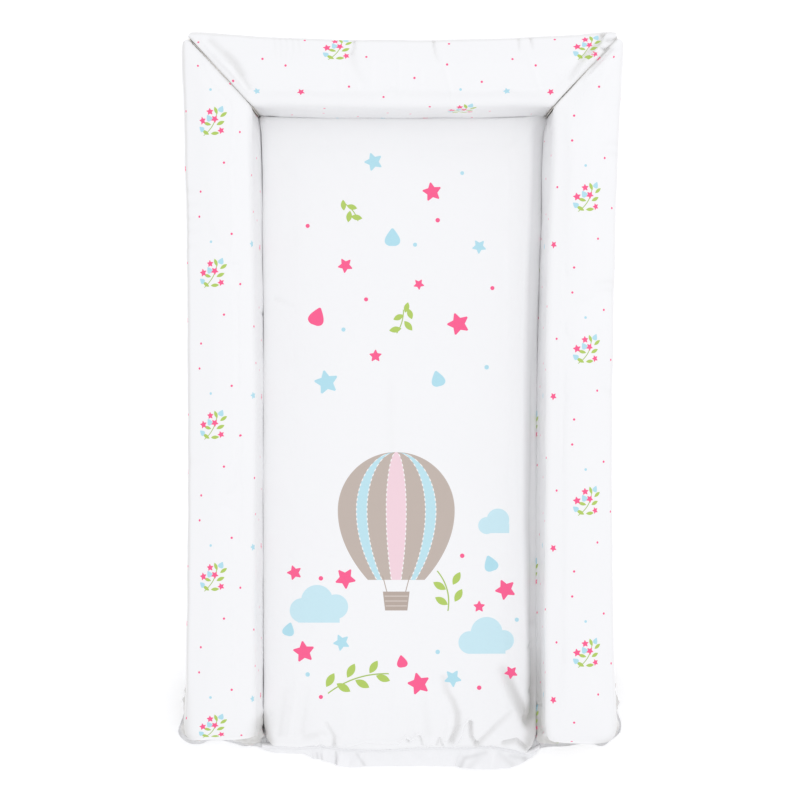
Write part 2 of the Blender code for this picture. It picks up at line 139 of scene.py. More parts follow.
def sheetFrom(name, places, thickness):
    # a flat grid, laid over a table of places in rows and columns, with a wall on both sides
    rows, columns = places.shape[:2]
    bpy.ops.object.select_all(action="DESELECT")
    bpy.ops.mesh.primitive_grid_add(x_subdivisions=columns - 1, y_subdivisions=rows - 1, size=1.0)
    piece = bpy.context.object
    piece.name = name
    for layer in list(piece.data.uv_layers):
        piece.data.uv_layers.remove(layer)
    setPoints(piece, places.reshape(-1, 3))
    across = np.linalg.norm(np.diff(places, axis=1, prepend=places[:, :1]), axis=2).cumsum(axis=1)
    along = np.linalg.norm(np.diff(places, axis=0, prepend=places[:1]), axis=2).cumsum(axis=0)
    mapPrint(piece, across.ravel(), along.ravel())
    modified(piece, "SOLIDIFY", thickness=thickness, offset=0.0)
    everywhere(piece, bpy.ops.mesh.normals_make_consistent, inside=False)
    shadedSmooth(piece, 50)
    return piece


def mapPrint(piece, across, along):
    # a UV map in metres, from two values for every vertex
    layer = piece.data.uv_layers.get("print") or piece.data.uv_layers.new(name="print")
    corner = np.zeros(len(piece.data.loops), np.int32)
    piece.data.loops.foreach_get("vertex_index", corner)
    flat = np.stack([across[corner], along[corner]], axis=1)
    layer.data.foreach_set("uv", flat.astype(np.float32).ravel())


def placed(piece, finish, slot, *stoodFor):
    piece.data.materials.clear()
    piece.data.materials.append(finish)
    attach(piece, "root")
    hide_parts(*stoodFor)
    print(piece.name, len(piece.data.polygons), "faces")


# Folds and creases, pressed into a fine mesh.
def runDistance(points, start, end):
    # distance to a straight run, and the share of the run beside which each point lies
    run = end - start
    share = np.clip(((points - start) @ run) / (run @ run), 0.0, 1.0)
    return np.linalg.norm(points - start - share[:, None] * run, axis=1), share


def creaseRuns(creases):
    # each crease is a list of points, half width, depth at its first and at its last point
    for path, width, first, last in creases:
        path = np.array(path, float) * mm
        steps = len(path) - 1
        for i in range(steps):
            depths = [first + (last - first) * (i + k) / steps for k in (0, 1)]
            yield path[i], path[i + 1], width * mm, depths[0] * mm, depths[1] * mm


def creaseDepth(points, creases):
    # depth of the deepest crease at each point; ridges have a negative depth
    total = np.zeros(len(points))
    for path, width, first, last in creases:
        strongest = np.zeros(len(points))
        for start, end, reach, depthStart, depthEnd in creaseRuns([(path, width, first, last)]):
            distance, share = runDistance(points[:, :len(start)], start, end)
            depth = (depthStart + (depthEnd - depthStart) * share) * np.exp(-(distance / reach) ** 2)
            strongest = np.where(np.abs(depth) > np.abs(strongest), depth, strongest)
        total += strongest
    return total


def refinedNear(piece, creases, reach=1.6):
    # halves the edges beside the creases
    points = pointsOf(piece)
    near = np.zeros(len(points), bool)
    for start, end, width, *_ in creaseRuns(creases):
        near |= runDistance(points[:, :len(start)], start, end)[0] < width * reach
    near &= normalsOf(piece)[:, 2] > 0.2
    shape = bmesh.new()
    shape.from_mesh(piece.data)
    shape.verts.ensure_lookup_table()
    edges = [e for e in shape.edges if near[e.verts[0].index] and near[e.verts[1].index]]
    bmesh.ops.subdivide_edges(shape, edges=edges, cuts=1, use_grid_fill=True)
    bmesh.ops.triangulate(shape, faces=[f for f in shape.faces if len(f.verts) > 4])
    shape.to_mesh(piece.data)
    shape.free()


def topCreased(piece, creases):
    # creases given by their place in plan, on the faces that look up
    upward = eased(normalsOf(piece)[:, 2], 0.05, 0.5)
    pushed(piece, -creaseDepth(pointsOf(piece), creases) * upward)


def wallCreased(piece, creases):
    pushed(piece, -creaseDepth(pointsOf(piece), creases))


def rippled(points, waves):
    # sum of plane waves: direction x, y, z, wavelength, height, all in millimetres but the direction
    total = np.zeros(len(points))
    for number, (x, y, z, length, height) in enumerate(waves):
        way = np.array((x, y, z), float)
        way /= np.linalg.norm(way)
        total += height * mm * np.sin(points @ way * 2 * math.pi / (length * mm) + 1.7 * number)
    return total


# Padded forms.
def looseParts(shape):
    # loose parts of a bmesh, the one that reaches highest first
    seen = set()
    parts = []
    for first in shape.verts:
        if first in seen:
            continue
        seen.add(first)
        part = [first]
        for vertex in part:
            for edge in vertex.link_edges:
                other = edge.other_vert(vertex)
                if other not in seen:
                    seen.add(other)
                    part.append(other)
        parts.append(part)
    return sorted(parts, key=lambda part: -max(v.co.z for v in part))


def outerSkin(nodeName, pieceName, weld=0.0001):
    # the outside of a packed cover, closed underneath
    mesh = nodes[nodeName].data.copy()
    mesh.materials.clear()
    piece = bpy.data.objects.new(pieceName, mesh)
    bpy.context.scene.collection.objects.link(piece)
    shape = bmesh.new()
    shape.from_mesh(mesh)
    bmesh.ops.remove_doubles(shape, verts=shape.verts, dist=weld)
    rim = min(v.co.z for v in shape.verts) + weld
    flat = [f for f in shape.faces if max(v.co.z for v in f.verts) < rim]
    bmesh.ops.delete(shape, geom=flat, context="FACES")
    parts = looseParts(shape)
    if len(parts) > 1:
        bmesh.ops.delete(shape, geom=[v for part in parts[1:] for v in part], context="VERTS")
    else:
        middle = sum((v.co for v in shape.verts), Vector()) / len(shape.verts)
        middle.z = rim
        inside = [f for f in shape.faces if f.normal.dot(f.calc_center_median() - middle) < 0]
        bmesh.ops.delete(shape, geom=inside, context="FACES")
    bmesh.ops.holes_fill(shape, edges=[e for e in shape.edges if e.is_boundary], sides=0)
    bmesh.ops.triangulate(shape, faces=[f for f in shape.faces if len(f.verts) > 4])
    bmesh.ops.recalc_face_normals(shape, faces=shape.faces)
    shape.to_mesh(mesh)
    shape.free()
    return piece


def remeshed(piece, voxel):
    # an even mesh, laid back on the form that it was made from
    form = bpy.data.objects.new("form", piece.data.copy())
    bpy.context.scene.collection.objects.link(form)
    modified(piece, "REMESH", mode="VOXEL", voxel_size=voxel)
    smoothed(piece, 2)
    modified(piece, "SHRINKWRAP", target=form)
    smoothed(piece, 1)
    bpy.data.objects.remove(form)


cloth = {"quality": 4, "mass": 0.2, "frames": 20}


def swollen(piece, facts):
    # fills the form with air, lets each point move by no more than the cap, and keeps the underside
    before = pointsOf(piece)
    rest = before[:, 2] < facts["heldBelow"]
    held = piece.vertex_groups.new(name="held")
    held.add([int(i) for i in np.nonzero(rest)[0]], 1.0, "REPLACE")
    swell = piece.modifiers.new("swell", "CLOTH")
    swell.settings.quality = cloth["quality"]
    swell.settings.mass = cloth["mass"]
    swell.settings.use_pressure = True
    swell.settings.uniform_pressure_force = facts["pressure"]
    swell.settings.vertex_group_mass = "held"
    swell.settings.effector_weights.gravity = 0.0
    swell.point_cache.frame_start = 1
    swell.point_cache.frame_end = cloth["frames"]
    for step in range(1, cloth["frames"] + 1):
        bpy.context.scene.frame_set(step)
    blown = piece.evaluated_get(bpy.context.evaluated_depsgraph_get())
    flat = np.zeros(len(before) * 3)
    blown.data.vertices.foreach_get("co", flat)
    move = flat.reshape(-1, 3) - before
    length = np.linalg.norm(move, axis=1) + 1e-9
    move *= (facts["cap"] * np.tanh(length / facts["cap"]) / length)[:, None]
    move[rest] = 0.0
    piece.modifiers.remove(swell)
    piece.vertex_groups.clear()
    setPoints(piece, before + move)
    bpy.context.scene.frame_set(1)


# Finishes.
def colourOf(code):
    parts = [int(code[i:i + 2], 16) / 255 for i in (0, 2, 4)]
    return [c / 12.92 if c <= 0.04045 else ((c + 0.055) / 1.055) ** 2.4 for c in parts]


def added(tree, kind, inputs=(), **settings):
    # a shader node with its settings, and a value or a link for each input
    node = tree.nodes.new("ShaderNode" + kind)
    for name, setting in settings.items():
        setattr(node, name, setting)
    for name, value in dict(inputs).items():
        if isinstance(value, bpy.types.NodeSocket):
            tree.links.new(value, node.inputs[name])
        else:
            node.inputs[name].default_value = value
    return node


class shaderSum:
    # a number that the shader works out, so that plain signs can stand for its math nodes
    def __init__(self, tree, socket):
        self.tree, self.socket = tree, socket

    def by(self, operation, *others):
        values = [other.socket if isinstance(other, shaderSum) else other for other in others]
        node = added(self.tree, "Math", enumerate([self.socket, *values]), operation=operation)
        return shaderSum(self.tree, node.outputs["Value"])

    def __add__(self, other):
        return self.by("ADD", other)

    def __sub__(self, other):
        return self.by("SUBTRACT", other)

    def __rsub__(self, other):
        return self.by("MULTIPLY_ADD", -1.0, other)

    def __mul__(self, other):
        return self.by("MULTIPLY", other)

    def __truediv__(self, other):
        return self.by("DIVIDE", other)

    def __abs__(self):
        return self.by("ABSOLUTE")

    def most(self, other):
        return self.by("MAXIMUM", other)

    def least(self, other):
        return self.by("MINIMUM", other)


def localPlace(tree, place, x, y, turn=0.0):
    # the printed place, seen from a motif's own centre and turn
    inputs = {"Vector": place, "Location": (x * mm, y * mm, 0.0), "Rotation": (0.0, 0.0, math.radians(turn))}
    return added(tree, "Mapping", inputs, vector_type="TEXTURE").outputs["Vector"]


def lengthOf(tree, vector):
    return shaderSum(tree, added(tree, "VectorMath", {0: vector}, operation="LENGTH").outputs["Value"])


def parted(tree, vector):
    parts = added(tree, "SeparateXYZ", {"Vector": vector})
    return shaderSum(tree, parts.outputs["X"]), shaderSum(tree, parts.outputs["Y"])


def dotField(tree, place, x, y, radius):
    return lengthOf(tree, localPlace(tree, place, x, y)) - radius * mm


def leafField(tree, place, x, y, turn, halfLength, halfWidth):
    along, across = parted(tree, localPlace(tree, place, x, y, turn))
    return abs(across) + (along * along * (halfWidth / halfLength ** 2 / mm) - halfWidth * mm)


def stemField(tree, place, x, y, turn, halfLength, bend, halfWidth):
    along, across = parted(tree, localPlace(tree, place, x, y, turn))
    line = across - along * along * (bend / halfLength ** 2 / mm)
    return (abs(line) - halfWidth * mm).most(abs(along) - halfLength * mm)


def starField(tree, place, x, y, turn, radius, waist=0.5, blunt=0.88):
    here = localPlace(tree, place, x, y, turn)
    across, along = parted(tree, here)
    fold = math.pi / 5
    lean = math.atan2(1 - waist * math.cos(fold), waist * math.sin(fold))
    reach = lengthOf(tree, here)
    slitShaded = across.by("ARCTAN2", along).by("PINGPONG", fold) - lean
    return (reach * slitShaded.by("COSINE") - radius * math.cos(lean) * mm).most(reach - radius * blunt * mm)


def dropField(tree, place, x, y, turn, radius, tall=1.35, taper=0.62, cut=1.3):
    across, along = parted(tree, localPlace(tree, place, x, y, turn))
    share = along * (1 / (tall * radius * mm))
    width = (1 - share * share).most(0).by("SQRT") * (share * (-taper * radius * mm) + radius * mm)
    return (abs(along) - cut * radius * mm).most(abs(across) - width)


motifFields = {"dot": dotField, "leaf": leafField, "stem": stemField, "star": starField, "drop": dropField}


def maskOf(tree, field, blur=0.00018):
    ramp = {"Value": field.socket, "From Min": -blur, "From Max": blur, "To Min": 1.0, "To Max": 0.0}
    return added(tree, "MapRange", ramp).outputs["Result"]


def mixed(tree, share, under, over):
    return added(tree, "Mix", {"Factor": share, "A": under, "B": over}, data_type="RGBA").outputs["Result"]


def inked(tree, under, mask, ink):
    return mixed(tree, mask, under, (*colourOf(ink), 1.0) if isinstance(ink, str) else ink)


def printMotifs(tree, place, colour, motifs, inks):
    # draws every motif of one ink as one mask, ink after ink
    for ink, code in inks.items():
        fields = [motifFields[kind](tree, place, *sizes)
                  for (kind, tone), rows in motifs.items() if tone == ink for sizes in rows]
        if not fields:
            continue
        joined = fields[0]
        for field in fields[1:]:
            joined = joined.least(field)
        colour = inked(tree, colour, maskOf(tree, joined), code)
    return colour


def printPlace(tree):
    return added(tree, "UVMap", uv_map="print").outputs["UV"]


def dottedRelief(tree, pitch):
    # rows of small pressed dots, from the print map
    inputs = {0: printPlace(tree), "Scale": 2 * math.pi / (pitch * mm)}
    scaled = added(tree, "VectorMath", inputs, operation="SCALE")
    wave = added(tree, "VectorMath", {0: scaled.outputs["Vector"]}, operation="SINE")
    across, along = parted(tree, wave.outputs["Vector"])
    return (across * along).socket


surface = {
    "ior": 1.5,
    # scale and detail of the noises, then how far the first makes the gloss vary
    "gloss": (38.0, 3.0),
    "grain": (700.0, 3.0),
    "cloud": (9.0, 2.0),
    "glossSpan": (-0.05, 0.07),
    # depths of the grain, the linen and the welded lines, in metres
    "grainDepth": 0.0002,
    "embossDepth": 0.00025,
    "lineDepth": 0.0004,
    "lineStrength": 0.8,
}


def vinylFinish(name, facts):
    # a white vinyl with its grain, its uneven gloss and the fine linen that it is pressed with
    vinyl = bpy.data.materials.new(name)
    vinyl.use_nodes = True
    tree = vinyl.node_tree
    shader = tree.nodes["Principled BSDF"]
    shader.inputs["IOR"].default_value = surface["ior"]
    place = added(tree, "TexCoord").outputs["Object"]

    def noise(kind):
        scale, detail = surface[kind]
        return added(tree, "TexNoise", {"Vector": place, "Scale": scale, "Detail": detail}).outputs["Fac"]

    def bumped(height, strength, depth, under=None, **settings):
        inputs = {"Strength": strength, "Distance": depth, "Height": height}
        if under is not None:
            inputs["Normal"] = under
        return added(tree, "Bump", inputs, **settings).outputs["Normal"]

    low, high = (facts["roughness"] + step for step in surface["glossSpan"])
    gloss = added(tree, "MapRange", {"Value": noise("gloss"), "To Min": low, "To Max": high})
    tree.links.new(gloss.outputs["Result"], shader.inputs["Roughness"])
    normal = bumped(noise("grain"), facts["grain"], surface["grainDepth"])
    normal = bumped(dottedRelief(tree, facts["pitch"]), facts["emboss"], surface["embossDepth"], normal)
    if "lines" in facts:
        lines = facts["lines"](tree, place)
        normal = bumped(lines, surface["lineStrength"], surface["lineDepth"], normal, invert=True)
    tree.links.new(normal, shader.inputs["Normal"])
    # the vinyl's own white is a little uneven, and painted shade greys it where it hangs loose, turns over an edge
    # or folds in
    colour = mixed(tree, noise("cloud"), (*facts["tone"], 1.0), (*facts["shade"], 1.0))
    if "loose" in facts:
        slack = added(tree, "Attribute", attribute_name="loose").outputs["Fac"]
        colour = mixed(tree, slack, colour, (*facts["loose"], 1.0))
    if "print" in facts:
        colour = facts["print"](tree, colour)
    tree.links.new(colour, shader.inputs["Base Color"])
    return vinyl


# Printed designs. Each motif has its place, then turn and sizes: a dot its radius, a leaf its half length
# and half width, a stem its half length, bend and half width, a star or a drop its radius.
inks = {"stem": "A9C65A", "leaf": "B4D060", "blue": "B4E2EF", "pink": "FF5A90", "cloud": "CBEBF4"}

borderPrint = {
    # distance from one spray to the next across and along, and how far the rows are shifted
    "pitch": (130, 158),
    "start": 24,
    "motifs": {
        ("stem", "stem"): [(1, 0, 62, 15.5, 4, 0.45)],
        ("leaf", "leaf"): [
            (-7.5, -8.5, 150, 4.6, 1.9), (2.6, -9.5, 5, 4.4, 1.8), (-5.6, 0.4, 165, 4.4, 1.7),
            (8.4, 1.2, 25, 4.6, 1.9), (3.6, 14.2, 110, 4.2, 1.7), (11.6, 10, 35, 4.4, 1.8)],
        ("star", "pink"): [
            (-11, 3.6, 12, 4.7), (2.4, 5.4, 40, 4.4), (-2.6, 13, 5, 4.2), (9, -6.6, 22, 4), (-38, -46, 30, 4.4)],
        ("drop", "blue"): [(-3.6, 6.4, 30, 2.7), (9.2, 15.8, -25, 2.6), (-12.6, -4.8, 50, 2.5)],
        ("star", "blue"): [(46, 34, 15, 4.2)],
        ("dot", "pink"): [
            (30, -8, 1.25), (-34, 14, 1.25), (20, 44, 1.25), (-16, 62, 1.25), (52, 68, 1.25), (12, -40, 1.25),
            (48, -52, 1.25), (-54, -18, 1.25), (-50, 48, 1.25), (-14, -70, 1.25)],
        ("dot", "blue"): [(-2, 36, 1.4)],
    },
}

centrePrint = {
    "motifs": {
        ("star", "pink"): [
            (34, 226, 10, 11.5), (-58, 148, 30, 9), (62, 86, 20, 13.5), (-26, 52, 0, 7.5), (20, 128, 40, 6.5),
            (-112, -178, 18, 9), (-58, -184, 40, 12.5), (-102, -262, 8, 13), (112, -196, 25, 12.5),
            (84, -214, 0, 7), (20, -296, 14, 13.5), (118, -284, 30, 8)],
        ("star", "blue"): [
            (-28, 258, 20, 11), (-78, 24, 12, 14.5), (84, 168, 33, 8.5), (-62, -252, 25, 10), (56, -290, 40, 10.5)],
        ("drop", "blue"): [(-8, 178, 0, 7.2), (40, 28, 15, 6.4), (96, -168, 20, 6.5), (-118, -238, -15, 5.5)],
        ("drop", "pink"): [(-88, 94, -20, 7.4), (2, -272, 10, 5)],
        ("stem", "stem"): [
            (2, 88, 74, 13, 2, 0.55), (-50, 206, 128, 12, 2.4, 0.55), (-46, -290, 18, 34, -6, 0.7),
            (50, -196, 105, 22, 5, 0.7)],
        ("leaf", "leaf"): [
            (-5, 80, 10, 6.6, 3.2), (8.8, 84, 130, 6.6, 3.2), (-1.6, 93, 25, 6, 3), (10.6, 96.6, 110, 6, 3),
            (7, 103.4, 74, 5.8, 2.8), (-46, 199, 170, 6.2, 3), (-54, 200, 80, 6.2, 3), (-51, 210, 165, 5.8, 2.8),
            (-60, 212, 95, 5.8, 2.8), (-74, -292, 60, 8.5, 4), (-60, -300, -30, 8.5, 4), (-52, -282, 62, 8.5, 4),
            (-40, -296, -28, 8.5, 4), (-28, -278, 58, 8, 3.8), (-18, -290, -20, 8, 3.8), (60, -184, 60, 7.8, 3.7),
            (42, -192, 150, 7.8, 3.7), (62, -202, 60, 7.8, 3.7), (44, -208, 150, 7.8, 3.7)],
        ("dot", "pink"): [
            (40, 196, 2.4), (-36, 112, 2.2), (98, 124, 2.2), (-98, 190, 2.2), (-84, -184, 2.4), (66, -160, 2.4),
            (84, -300, 2.4), (-84, -310, 2.2)],
        ("dot", "blue"): [
            (16, 170, 2.2), (-60, 80, 2.2), (92, 40, 2.4), (66, 246, 2), (-98, -286, 2.4), (40, -262, 2.4),
            (124, -228, 2.2)],
        ("dot", "cloud"): [
            (-104, -218, 13), (-88, -208, 17), (-68, -214, 13), (74, -252, 12), (92, -242, 17), (110, -250, 11),
            (92, -128, 9), (104, -122, 12)],
        ("stem", "cloud"): [(-86, -224, 0, 22, 0, 7), (92, -257, 0, 20, 0, 7), (102, -131, 0, 14, 0, 5)],
    },
}

balloon = {
    "place": (-4, -112),
    "radius": 62,
    "tail": 92,
    "crown": 0.999,
    "mouth": 0.80,
    "pinch": 0.30,
    "blunt": 0.0004,
    # where each stripe starts, as a share of the half width, and its colour
    "gores": [(0.0, "F6D6DF"), (0.17, "C3B5AB"), (0.50, "BFE6F0"), (0.68, "C3B5AB")],
    "stitch": {"pitch": 5.2, "half": 0.55, "gap": 0.002, "ink": "FBF9F7"},
    "basket": {"place": (-4, -208), "half": (13, 10), "spread": 0.12, "ink": "B9A99E"},
    "ropes": {"spread": 0.26, "foot": 7.4, "half": 0.5, "middle": 17, "reach": 10},
    "weave": {"pitch": 2.6, "half": 0.45, "rim": 1.2, "ink": "DDD2CA"},
}


def borderInk(tree, colour):
    across, along = parted(tree, printPlace(tree))
    pitchX, pitchY = (size * mm for size in borderPrint["pitch"])
    odd = (across * (1 / pitchX)).by("FLOOR").by("PINGPONG", 1.0)
    shifted = odd * (pitchY / 2) + along + borderPrint["start"] * mm
    tileX = (across - pitchX / 2).by("WRAP", pitchX / 2, -pitchX / 2)
    tileY = shifted.by("WRAP", pitchY / 2, -pitchY / 2)
    joined = added(tree, "CombineXYZ", {"X": tileX.socket, "Y": tileY.socket})
    return printMotifs(tree, joined.outputs["Vector"], colour, borderPrint["motifs"], inks)


def envelopeInk(tree, colour, place):
    # the balloon's striped envelope with its stitched gores
    radius, tail = balloon["radius"] * mm, balloon["tail"] * mm
    across, along = parted(tree, localPlace(tree, place, *balloon["place"]))
    lower = (along * -1).most(0) * (1 / tail)
    share = along.most(0) * (1 / radius) + lower
    halfWidth = (1 - share * share).most(balloon["blunt"]).by("SQRT")
    halfWidth = halfWidth * (1 - lower * lower * balloon["pinch"]) * radius
    side = abs(across) / halfWidth
    cut = along * -1 - balloon["mouth"] * tail
    envelope = (along - radius * balloon["crown"]).most((abs(across) - halfWidth).most(cut))
    stripes = added(tree, "ValToRGB", {"Fac": side.socket})
    stripes.color_ramp.interpolation = "CONSTANT"
    ramp = stripes.color_ramp.elements
    for number, (start, code) in enumerate(balloon["gores"]):
        step = ramp[number] if number < 2 else ramp.new(start)
        step.position = start
        step.color = (*colourOf(code), 1.0)
    colour = inked(tree, colour, maskOf(tree, envelope), stripes.outputs["Color"])
    stitch = balloon["stitch"]
    dashes = (along * (2 * math.pi / (stitch["pitch"] * mm))).by("SINE") * -stitch["gap"]
    for start, _ in balloon["gores"][1:]:
        line = (abs((side - start) * halfWidth) - stitch["half"] * mm).most(dashes).most(envelope)
        colour = inked(tree, colour, maskOf(tree, line), stitch["ink"])
    return colour


def basketInk(tree, colour, place):
    # the balloon's basket with its ropes and its weave
    basket, rope, weave = balloon["basket"], balloon["ropes"], balloon["weave"]
    halfX, halfY = basket["half"]
    across, along = parted(tree, localPlace(tree, place, *basket["place"]))
    box = (abs(across) - (along * basket["spread"] + halfX * mm)).most(abs(along) - halfY * mm)
    ropes = abs(abs(across) - (along * rope["spread"] + rope["foot"] * mm)) - rope["half"] * mm
    ropes = ropes.most(abs(along - rope["middle"] * mm) - rope["reach"] * mm)
    colour = inked(tree, colour, maskOf(tree, box.least(ropes)), basket["ink"])
    bands = abs(along.by("WRAP", weave["pitch"] * mm, -weave["pitch"] * mm)) - weave["half"] * mm
    return inked(tree, colour, maskOf(tree, bands.most(box + weave["rim"] * mm)), weave["ink"])


def centreInk(tree, colour):
    place = printPlace(tree)
    colour = printMotifs(tree, place, colour, centrePrint["motifs"], inks)
    return basketInk(tree, envelopeInk(tree, colour, place), place)


weldedLines = {
    # distance of the rim's line from the edge, and its half width
    "rim": (2.4, 1.4),
    # middle and half width of the crevice's outline, its head, and the line's half width
    "crevice": (1.5, 145.5, 304, 1.1),
    "blur": 0.0005,
}


def weldLines(tree, place):
    # the lines where the base is welded to the covers: along its edge and under the crevice
    away, halfRim = (size * mm for size in weldedLines["rim"])
    middle, halfWidth, head, halfLine = (size * mm for size in weldedLines["crevice"])
    toEdge = shaderSum(tree, added(tree, "Attribute", attribute_name="toEdge").outputs["Fac"])
    across, along = parted(tree, place)
    crevice = abs((abs(across - middle) - halfWidth).most(along - head)) - halfLine
    return maskOf(tree, (abs(toEdge - away) - halfRim).least(crevice), weldedLines["blur"])


# each finish's third colour is painted shade, mixed in where the vinyl hangs loose, turns over an edge or folds in
vinylFacts = {
    "border": {"roughness": 0.34, "grain": 0.10, "emboss": 0.05, "pitch": 1.3, "tone": (0.95, 0.95, 0.955),
               "shade": (0.94, 0.94, 0.945), "print": borderInk, "loose": (0.60, 0.59, 0.565)},
    "centre": {"roughness": 0.20, "grain": 0.05, "emboss": 0.03, "pitch": 1.3, "tone": (0.95, 0.95, 0.955),
               "shade": (0.94, 0.94, 0.945), "print": centreInk, "loose": (0.62, 0.61, 0.595)},
    "base": {"roughness": 0.42, "grain": 0.14, "emboss": 0.10, "pitch": 1.3, "tone": (0.92, 0.92, 0.93),
             "shade": (0.90, 0.90, 0.91), "lines": weldLines},
    "weld": {"roughness": 0.26, "grain": 0.06, "emboss": 0.55, "pitch": 2.4, "tone": (0.92, 0.92, 0.93),
             "shade": (0.90, 0.90, 0.91)},
    "hem": {"roughness": 0.24, "grain": 0.06, "emboss": 0.05, "pitch": 1.6, "tone": (0.94, 0.94, 0.95),
            "shade": (0.93, 0.93, 0.94), "loose": (0.62, 0.62, 0.625)},
    # the fold finish's tan tone is painted warm shade, for the linings deep in the corner slits
    "fold": {"roughness": 0.34, "grain": 0.10, "emboss": 0.04, "pitch": 1.3, "tone": (0.95, 0.90, 0.835),
             "shade": (0.90, 0.85, 0.78)},
}
finishes = {name: vinylFinish(name + "Vinyl", facts) for name, facts in vinylFacts.items()}
print("finishes:", ", ".join(finishes))


# Raised border.
border = {
    "height": 0.085,
    "voxel": 0.004,
    "pressure": 4.0,
    "cap": 0.0010,
    "heldBelow": 0.003,
    "ripples": [(1, 0.3, 0, 74, 0.16), (0.2, 1, 0, 96, 0.20), (1, 1, 0.4, 58, 0.12), (0.4, -1, 0.3, 43, 0.10)],
    "mitreTop": 0.0828,
    # inner end, outer end, and the slit's width from the one to the other
    "leftMitre": ((-147.5, 304), (-228, 390.5), [(0, 0.9), (20, 0.8), (100, 0.8), (118, 0.7)]),
    "rightMitre": ((153.3, 304), (234, 390.5), [(0, 0.9), (20, 0.8), (66, 0.75), (78, 0.3), (118, 0.3)]),
    # how far the foot of each wall stands out beyond its plain place: y and outward, then x and outward
    "leftFlare": [
        (-400, 0), (-364, 1), (-361, 4.5), (-357, 7), (-351, 7.5), (-346, 5), (-338, -0.5), (-329, -0.5),
        (-321, 3.5), (-314, 6), (-305, 5.5), (-293, 1), (-280, 0), (400, 0)],
    "rightFlare": [
        (-400, 0), (-362, -1), (-358, 1), (-351, 4.5), (-346, 5), (-340, 2.5), (-333, 1.5), (-327, 0.4),
        (-322, 2.4), (-316, 7), (-305, 5), (-290, 3), (-270, 1), (-250, 0), (400, 0)],
    "leftFootFlare": [
        (-240, -3), (-213, -4), (-206, -7), (-200, -8), (-184, -7.5), (-177, -5), (-168, -1), (-150, 0)],
    "rightFootFlare": [(150, 0), (171, -2), (182, -3), (192, -5), (207, -6), (212, -4), (240, -2)],
    # how far the inner wall leans towards the middle: at its foot, then at its top, by the place along it
    "leftLean": (
        [(-314, 1.8), (-250, 1.4), (-133, 1.5), (-27, 1.7), (80, 2.2), (186, 2.5), (251, 2.8), (304, 1.6)],
        [(-314, 1.7), (-250, 1.4), (-133, 1.7), (-27, 3.2), (80, 2.1), (186, 1.1), (251, -0.2), (300, 0)]),
    "rightLean": (
        [(-314, -4.8), (-250, -4.9), (-133, -4.3), (-27, -3), (80, -2), (186, -0.2), (251, 2.1), (304, 1.5)],
        [(-314, -1.7), (-250, -1), (-133, -1.5), (-27, -1), (80, 0.5), (186, 1.2), (251, 0.2), (300, 0)]),
    "headLean": (
        [(-150, 1.4), (0, 1.9), (150, 1.4)],
        [(-150, 0), (-100, 1.4), (-20, 2.8), (60, 2.8), (105, 1.4), (150, 0)]),
    "footShare": [(0, 0.3), (10, 0.3), (18, 1), (34, 0.75), (75, 0)],
    "crumples": [(0.3, 1, 0.5, 17, 1.3), (1, 0.4, -0.6, 12, 0.8), (0.2, 1, -0.3, 9, 0.5)],
    # blotches in the painted shade on the loose vinyl at the foot
    "shadeStreaks": [
        (0.4, 1, 0.3, 9, 90), (1, 0.6, -0.2, 6.5, 80), (-0.3, 0.5, 1, 14, 90), (0.8, -0.6, 0.7, 11, 70)],
    # how much painted shade greys the outer edges, the slits and the valleys of the folds
    "rimShade": {"borderLeft": 0.45, "borderRight": 0.15, "borderHead": 0.30},
    "slitShade": 0.55,
    "slitShadeReach": 0.0015,
    "valleyShade": 0.34,
    "valleyDepth": 0.003,
    # how much sharper the edge of the top is than the plain form's, inside and outside
    "crisp": (0.0045, 0.0025),
    # heights between which the lean grows, depth behind the wall over which it fades, heights of the sharp edge
    "leanHigh": (0.010, 0.075),
    "leanDepth": (0.006, 0.026),
    "crispHigh": (0.060, 0.074),
    # drawing together at a mitre: how near, by how much and where, then the lift of the edge of the top
    "draw": {"near": 0.009, "pull": 0.0019, "within": 0.014, "high": (0.030, 0.072), "edgeNear": 0.0055,
             "edgeHigh": (0.066, 0.078), "edgeStart": (0.008, 0.022), "edgeEnd": (0.098, 0.112), "edgeShare": 0.9},
    # the foot end's moves and the painted shade on its loose vinyl: heights, distances from the foot end and
    # across, and how a face has to look
    "foot": {"topHigh": (0.02, 0.08), "topAlong": (0.012, 0.060), "cornerAcross": (0.198, 0.220),
             "cornerAlong": (0.008, 0.036), "cornerHigh": (0.050, 0.078), "low": (0.002, 0.070),
             "facing": (0, 0.5), "slackFacing": (0.35, 0.75), "slackHigh": (0.040, 0.080), "slack": 0.9,
             "sideCrumple": (0.0002, 0.002), "sideShade": (0.0008, 0.003), "footCrumpleAndShade": (-0.0065, -0.003)},
    # how a face at the outer edge has to look to count as the rim
    "rimFrom": (0.45, 0.80),
    "rimTo": (0.93, 0.995),
    # heights between which the ripples grow; creases narrower than fine get a finer mesh, out to fineReach
    "rippleHigh": (0.004, 0.02),
    "fine": 2.7,
    "fineReach": 2.2,
}

